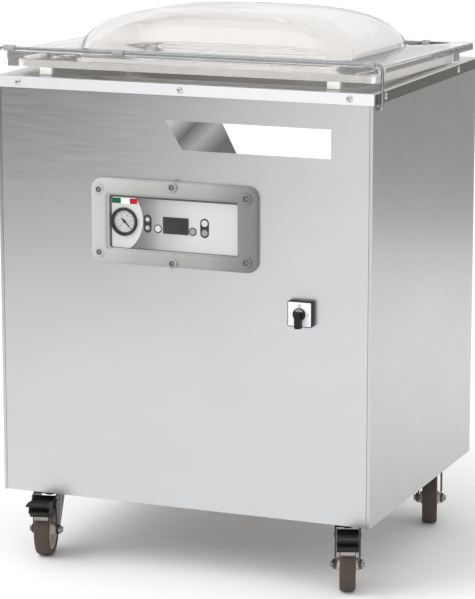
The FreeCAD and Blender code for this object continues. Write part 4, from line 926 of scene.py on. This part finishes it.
TYRE_HALF = [
    (0.0390, -0.0132), (0.0405, -0.0140), (0.0440, -0.0149), (0.0462, -0.0150), (0.0480, -0.0144),
    (0.0492, -0.0128), (0.0498, -0.0105), (0.0500, -0.0070),
]
HUB_HALF = [
    (0.00605, -0.0200), (0.0100, -0.0200), (0.0118, -0.0190), (0.0130, -0.0100), (0.0150, -0.0055),
    (0.0200, -0.0042), (0.0300, -0.0042), (0.0322, -0.0060), (0.0338, -0.0118), (0.0350, -0.0130),
    (0.0389, -0.0130),
]
# The hub's ribs: half their height at each radius, and half their width.
HUB_RIB = ((0.0135, 0.0105), (0.0200, 0.0088), (0.0280, 0.0088), (0.0332, 0.0105))
HUB_RIB_HALF = 0.0011
HUB_RIBS = 8


def wheel_pieces(corner):
    """The rounded tyre and the moulded, ribbed hub of one castor."""
    body, middle = f"wheel_{corner}", JOINTS[f"wheel_{corner}_roll"]["pos_m"]
    place = Matrix.Translation(middle) @ caster_turn(corner) @ outward(1)
    tyre = revolve(f"tyre_{corner}_tread", both_ways(TYRE_HALF), place, 96)
    add(tyre, body, "tyre_rubber", [f"tyre_{corner}"])
    hub = shade_by_angle(revolve(f"hub_{corner}_wheel", both_ways(HUB_HALF), place, 96), 50)
    add(hub, body, "hub_plastic", [f"hub_{corner}"])
    section = ((-HUB_RIB_HALF, -1), (HUB_RIB_HALF, -1), (HUB_RIB_HALF, 1), (-HUB_RIB_HALF, 1))
    for index in range(HUB_RIBS):
        at = place @ Matrix.Rotation(2 * math.pi * index / HUB_RIBS, 4, "Z")
        rings = [[at @ Vector((radius, y, height * end)) for y, end in section] for radius, height in HUB_RIB]
        rib = loft(f"hub_{corner}_rib_{index + 1}", rings)
        add(shade_by_angle(rib), body, "hub_plastic")


def slab(name, side_view, half_width, place, edge):
    """A solid with a side outline in the local YZ plane and a width along X."""
    count = len(side_view)
    vertices = [place @ Vector((x, y, z)) for x in (-half_width, half_width) for y, z in side_view]
    faces = [tuple(range(count)), tuple(range(count, 2 * count))]
    for index in range(count):
        ahead = (index + 1) % count
        faces.append((index, ahead, count + ahead, count + index))
    return soften(mesh_object(name, vertices, faces), edge, 3)


# The pedal's side view, in mm from the swivel point on the floor.
PEDAL_LEVER = [
    (-42, 104), (-42, 117), (-50, 120.3), (-60, 119), (-70, 116.7), (-84, 117.8), (-98, 120.5), (-114, 121.5),
    (-127, 121.4), (-129.8, 120), (-129, 118), (-106, 111.5), (-101.5, 108), (-107, 102), (-106.5, 99),
    (-104, 97.5), (-97, 95), (-92, 88), (-84.5, 88), (-76, 96.5), (-66, 104), (-58, 102.5),
]
PEDAL_RIDGES = ((-0.0905, 0.1191), (-0.0965, 0.1203), (-0.1025, 0.1208), (-0.1085, 0.1212))
BRAKE_SHOE = [
    (-0.0890, 0.0830), (-0.0890, 0.0885), (-0.0845, 0.0885), (-0.0845, 0.0805), (-0.0870, 0.0805),
]
SHOE_TOOTH = [(-0.0889, 0.0802), (-0.0889, 0.0836), (-0.0868, 0.0836), (-0.0868, 0.0802)]
SHOE_TEETH, TOOTH_PITCH = 7, 0.0039
RIVET = [(0.0002, 0), (0.0042, 0), (0.0042, 0.0010), (0.0034, 0.0020), (0.0018, 0.0026), (0.0002, 0.0028)]


def pedal_pieces(corner):
    """The black two-step brake pedal with its ridges, pin ends and toothed steel shoe."""
    place = caster_frame(corner)
    body = f"pedal_{corner}"
    lever = slab(f"{body}_lever", [(y * MM, z * MM) for y, z in PEDAL_LEVER], 0.0203, place, 0.0011)
    add(lever, body, "black_plastic", [body])
    for index, (y, z) in enumerate(PEDAL_RIDGES):
        back, front = y - 0.0009, y + 0.0009
        outline = [(back, z - 0.0015), (back, z + 0.0007), (front, z + 0.0005), (front, z - 0.0015)]
        ridge = slab(f"{body}_ridge_{index + 1}", outline, 0.0170, place, 0.0004)
        add(ridge, body, "black_plastic")
    add(slab(f"{body}_shoe", BRAKE_SHOE, 0.0137, place, 0.0003), body, "shoe_steel")
    for index in range(SHOE_TEETH):
        shift = place @ Matrix.Translation((TOOTH_PITCH * (index - (SHOE_TEETH - 1) / 2), 0, 0))
        tooth = slab(f"{body}_tooth_{index + 1}", SHOE_TOOTH, 0.0011, shift, 0.0002)
        add(tooth, body, "shoe_steel")
    for name, side in SIDES:
        at = place @ Matrix.Translation((side * 0.0241, -0.048, 0.108)) @ outward(side)
        add(turned(f"{body}_rivet_{name}", RIVET, at, 32), body, "rod_steel")


# Side view of the lighter strip on each fork leg, which carries a painted highlight.
FORK_RIB_HIGHLIGHT = [(-0.0190, 0.1175), (-0.0100, 0.1175), (-0.0270, 0.0620), (-0.0330, 0.0620)]
AXLE_END = [
    (0.0002, 0), (0.0088, 0), (0.0092, 0.0006), (0.0092, 0.0032), (0.0084, 0.0040), (0.0060, 0.0042),
    (0.0060, 0.0072), (0.0050, 0.0082), (0.0002, 0.0084),
]


def fork_details(corner):
    """On each fork leg a bright domed bolt end, and the pressed stiffening rib in a lighter colour, a painted
    highlight along the dark leg.
    """
    place = caster_frame(corner)
    body = f"fork_{corner}"
    for name, side in SIDES:
        at = place @ Matrix.Translation((side * 0.0240, -0.038, 0.050)) @ outward(side)
        sides = 6 if side < 0 else 32
        add(turned(f"axle_end_{corner}_{name}", AXLE_END, at, sides), body, "rod_steel")
    for name, side in SIDES:
        at = place @ Matrix.Translation((side * 0.0243, 0, 0))
        rib = slab(f"fork_rib_{corner}_{name}", FORK_RIB_HIGHLIGHT, 0.0009, at, 0.0008)
        add(rib, body, "rib_painted_highlight")


# ---------------------------------------------------------------- studio

def studio():
    """A pale floor and white surroundings."""
    reach = 30
    corners = [(-reach, -reach, 0), (reach, -reach, 0), (reach, reach, 0), (-reach, reach, 0)]
    floor = mesh_object("floor", corners, [(0, 1, 2, 3)])
    paint = Paint("floor_pale", (0.93, 0.93, 0.93), 0.7)
    paint.tint(paint.noise(1.5, 2.0), 0.99, 1.01)
    floor.data.materials.append(paint.material)
    world = bpy.data.worlds.new("studio")
    bpy.context.scene.world = world
    world.use_nodes = True
    sky = world.node_tree.nodes["Background"]
    sky.inputs["Color"].default_value = (1, 1, 1, 1)
    sky.inputs["Strength"].default_value = 0.97
    bpy.context.scene.view_settings.view_transform = "Standard"


def soft_light(name, at, towards, size, power):
    """A square area light aimed at a point."""
    data = bpy.data.lights.new(name, "AREA")
    data.size = size
    data.energy = power
    lamp = link(name, data)
    lamp.location = at
    lamp.rotation_euler = (Vector(towards) - Vector(at)).to_track_quat("-Z", "Y").to_euler()


def sunshine(name, direction, strength, spread):
    """Broad even light from one direction, which leaves no glare on the steel."""
    data = bpy.data.lights.new(name, "SUN")
    data.energy = strength
    data.angle = math.radians(spread)
    lamp = link(name, data)
    lamp.rotation_euler = Vector(direction).to_track_quat("-Z", "Y").to_euler()
    lamp.visible_glossy = False


def dark_card(name, ends, bottom, top, shade):
    """An upright screen that is seen only in reflections, where it darkens the steel."""
    (x0, y0), (x1, y1) = ends
    corners = [(x0, y0, bottom), (x1, y1, bottom), (x1, y1, top), (x0, y0, top)]
    card = mesh_object(name, corners, [(0, 1, 2, 3)])
    paint = Paint(name, (shade, shade, shade), 0.9)
    paint.tint(paint.along("Z", bottom, top), 1.15, 0.85)
    card.data.materials.append(paint.material)
    card.visible_camera = False
    card.visible_diffuse = False
    card.visible_shadow = False
    card.visible_transmission = False


# Each card: its two ends on the floor plan, its bottom and top, and its shade.
CARDS = {
    "front_card": (((-3.6, -2.3), (-0.75, -2.3)), 0.22, 1.5, 0.03),
    "side_card": (((0.9, 3.2), (4.5, 3.2)), 0.0, 1.1, 0.22),
    "right_card": (((3.4, -1.4), (3.4, 1.2)), 0.1, 1.0, 0.05),
    "back_card": (((-1.2, 3.1), (0.5, 3.1)), 0.1, 1.0, 0.05),
    "left_card": (((-3.4, 1.4), (-3.4, -1.0)), 0.1, 1.0, 0.05),
}


def camera():
    """A long lens from the front right, a little above the lid."""
    data = bpy.data.cameras.new("camera")
    data.lens = 167.2
    data.sensor_width = 36
    eye = link("camera", data)
    eye.location = (1.990, -4.937, 1.567)
    eye.rotation_euler = (math.radians(78.38), 0, math.radians(22.07))
    bpy.context.scene.camera = eye


dress_nodes()
deck_lip_faces()
lid_shell()
bail_sleeves()
control_bezel()
bezel_screw_wells()
window_seam()
overlay_zone()
key_surrounds()
key_caps()
display_window()
gauge_parts()
switch_face()
switch_knob()
name_plate()
for corner_name in CORNERS:
    wheel_pieces(corner_name)
for corner_name in BRAKED_CORNERS:
    pedal_pieces(corner_name)
for corner_name in CORNERS:
    fork_details(corner_name)
studio()
soft_light("key_light", (-2.0, -3.0, 3.6), (0, 0, 0.5), 3.0, 30)
sunshine("left_light", (0.62, 0.42, -0.66), 1.1, 50)
for card_name, values in CARDS.items():
    dark_card(card_name, *values)
camera()
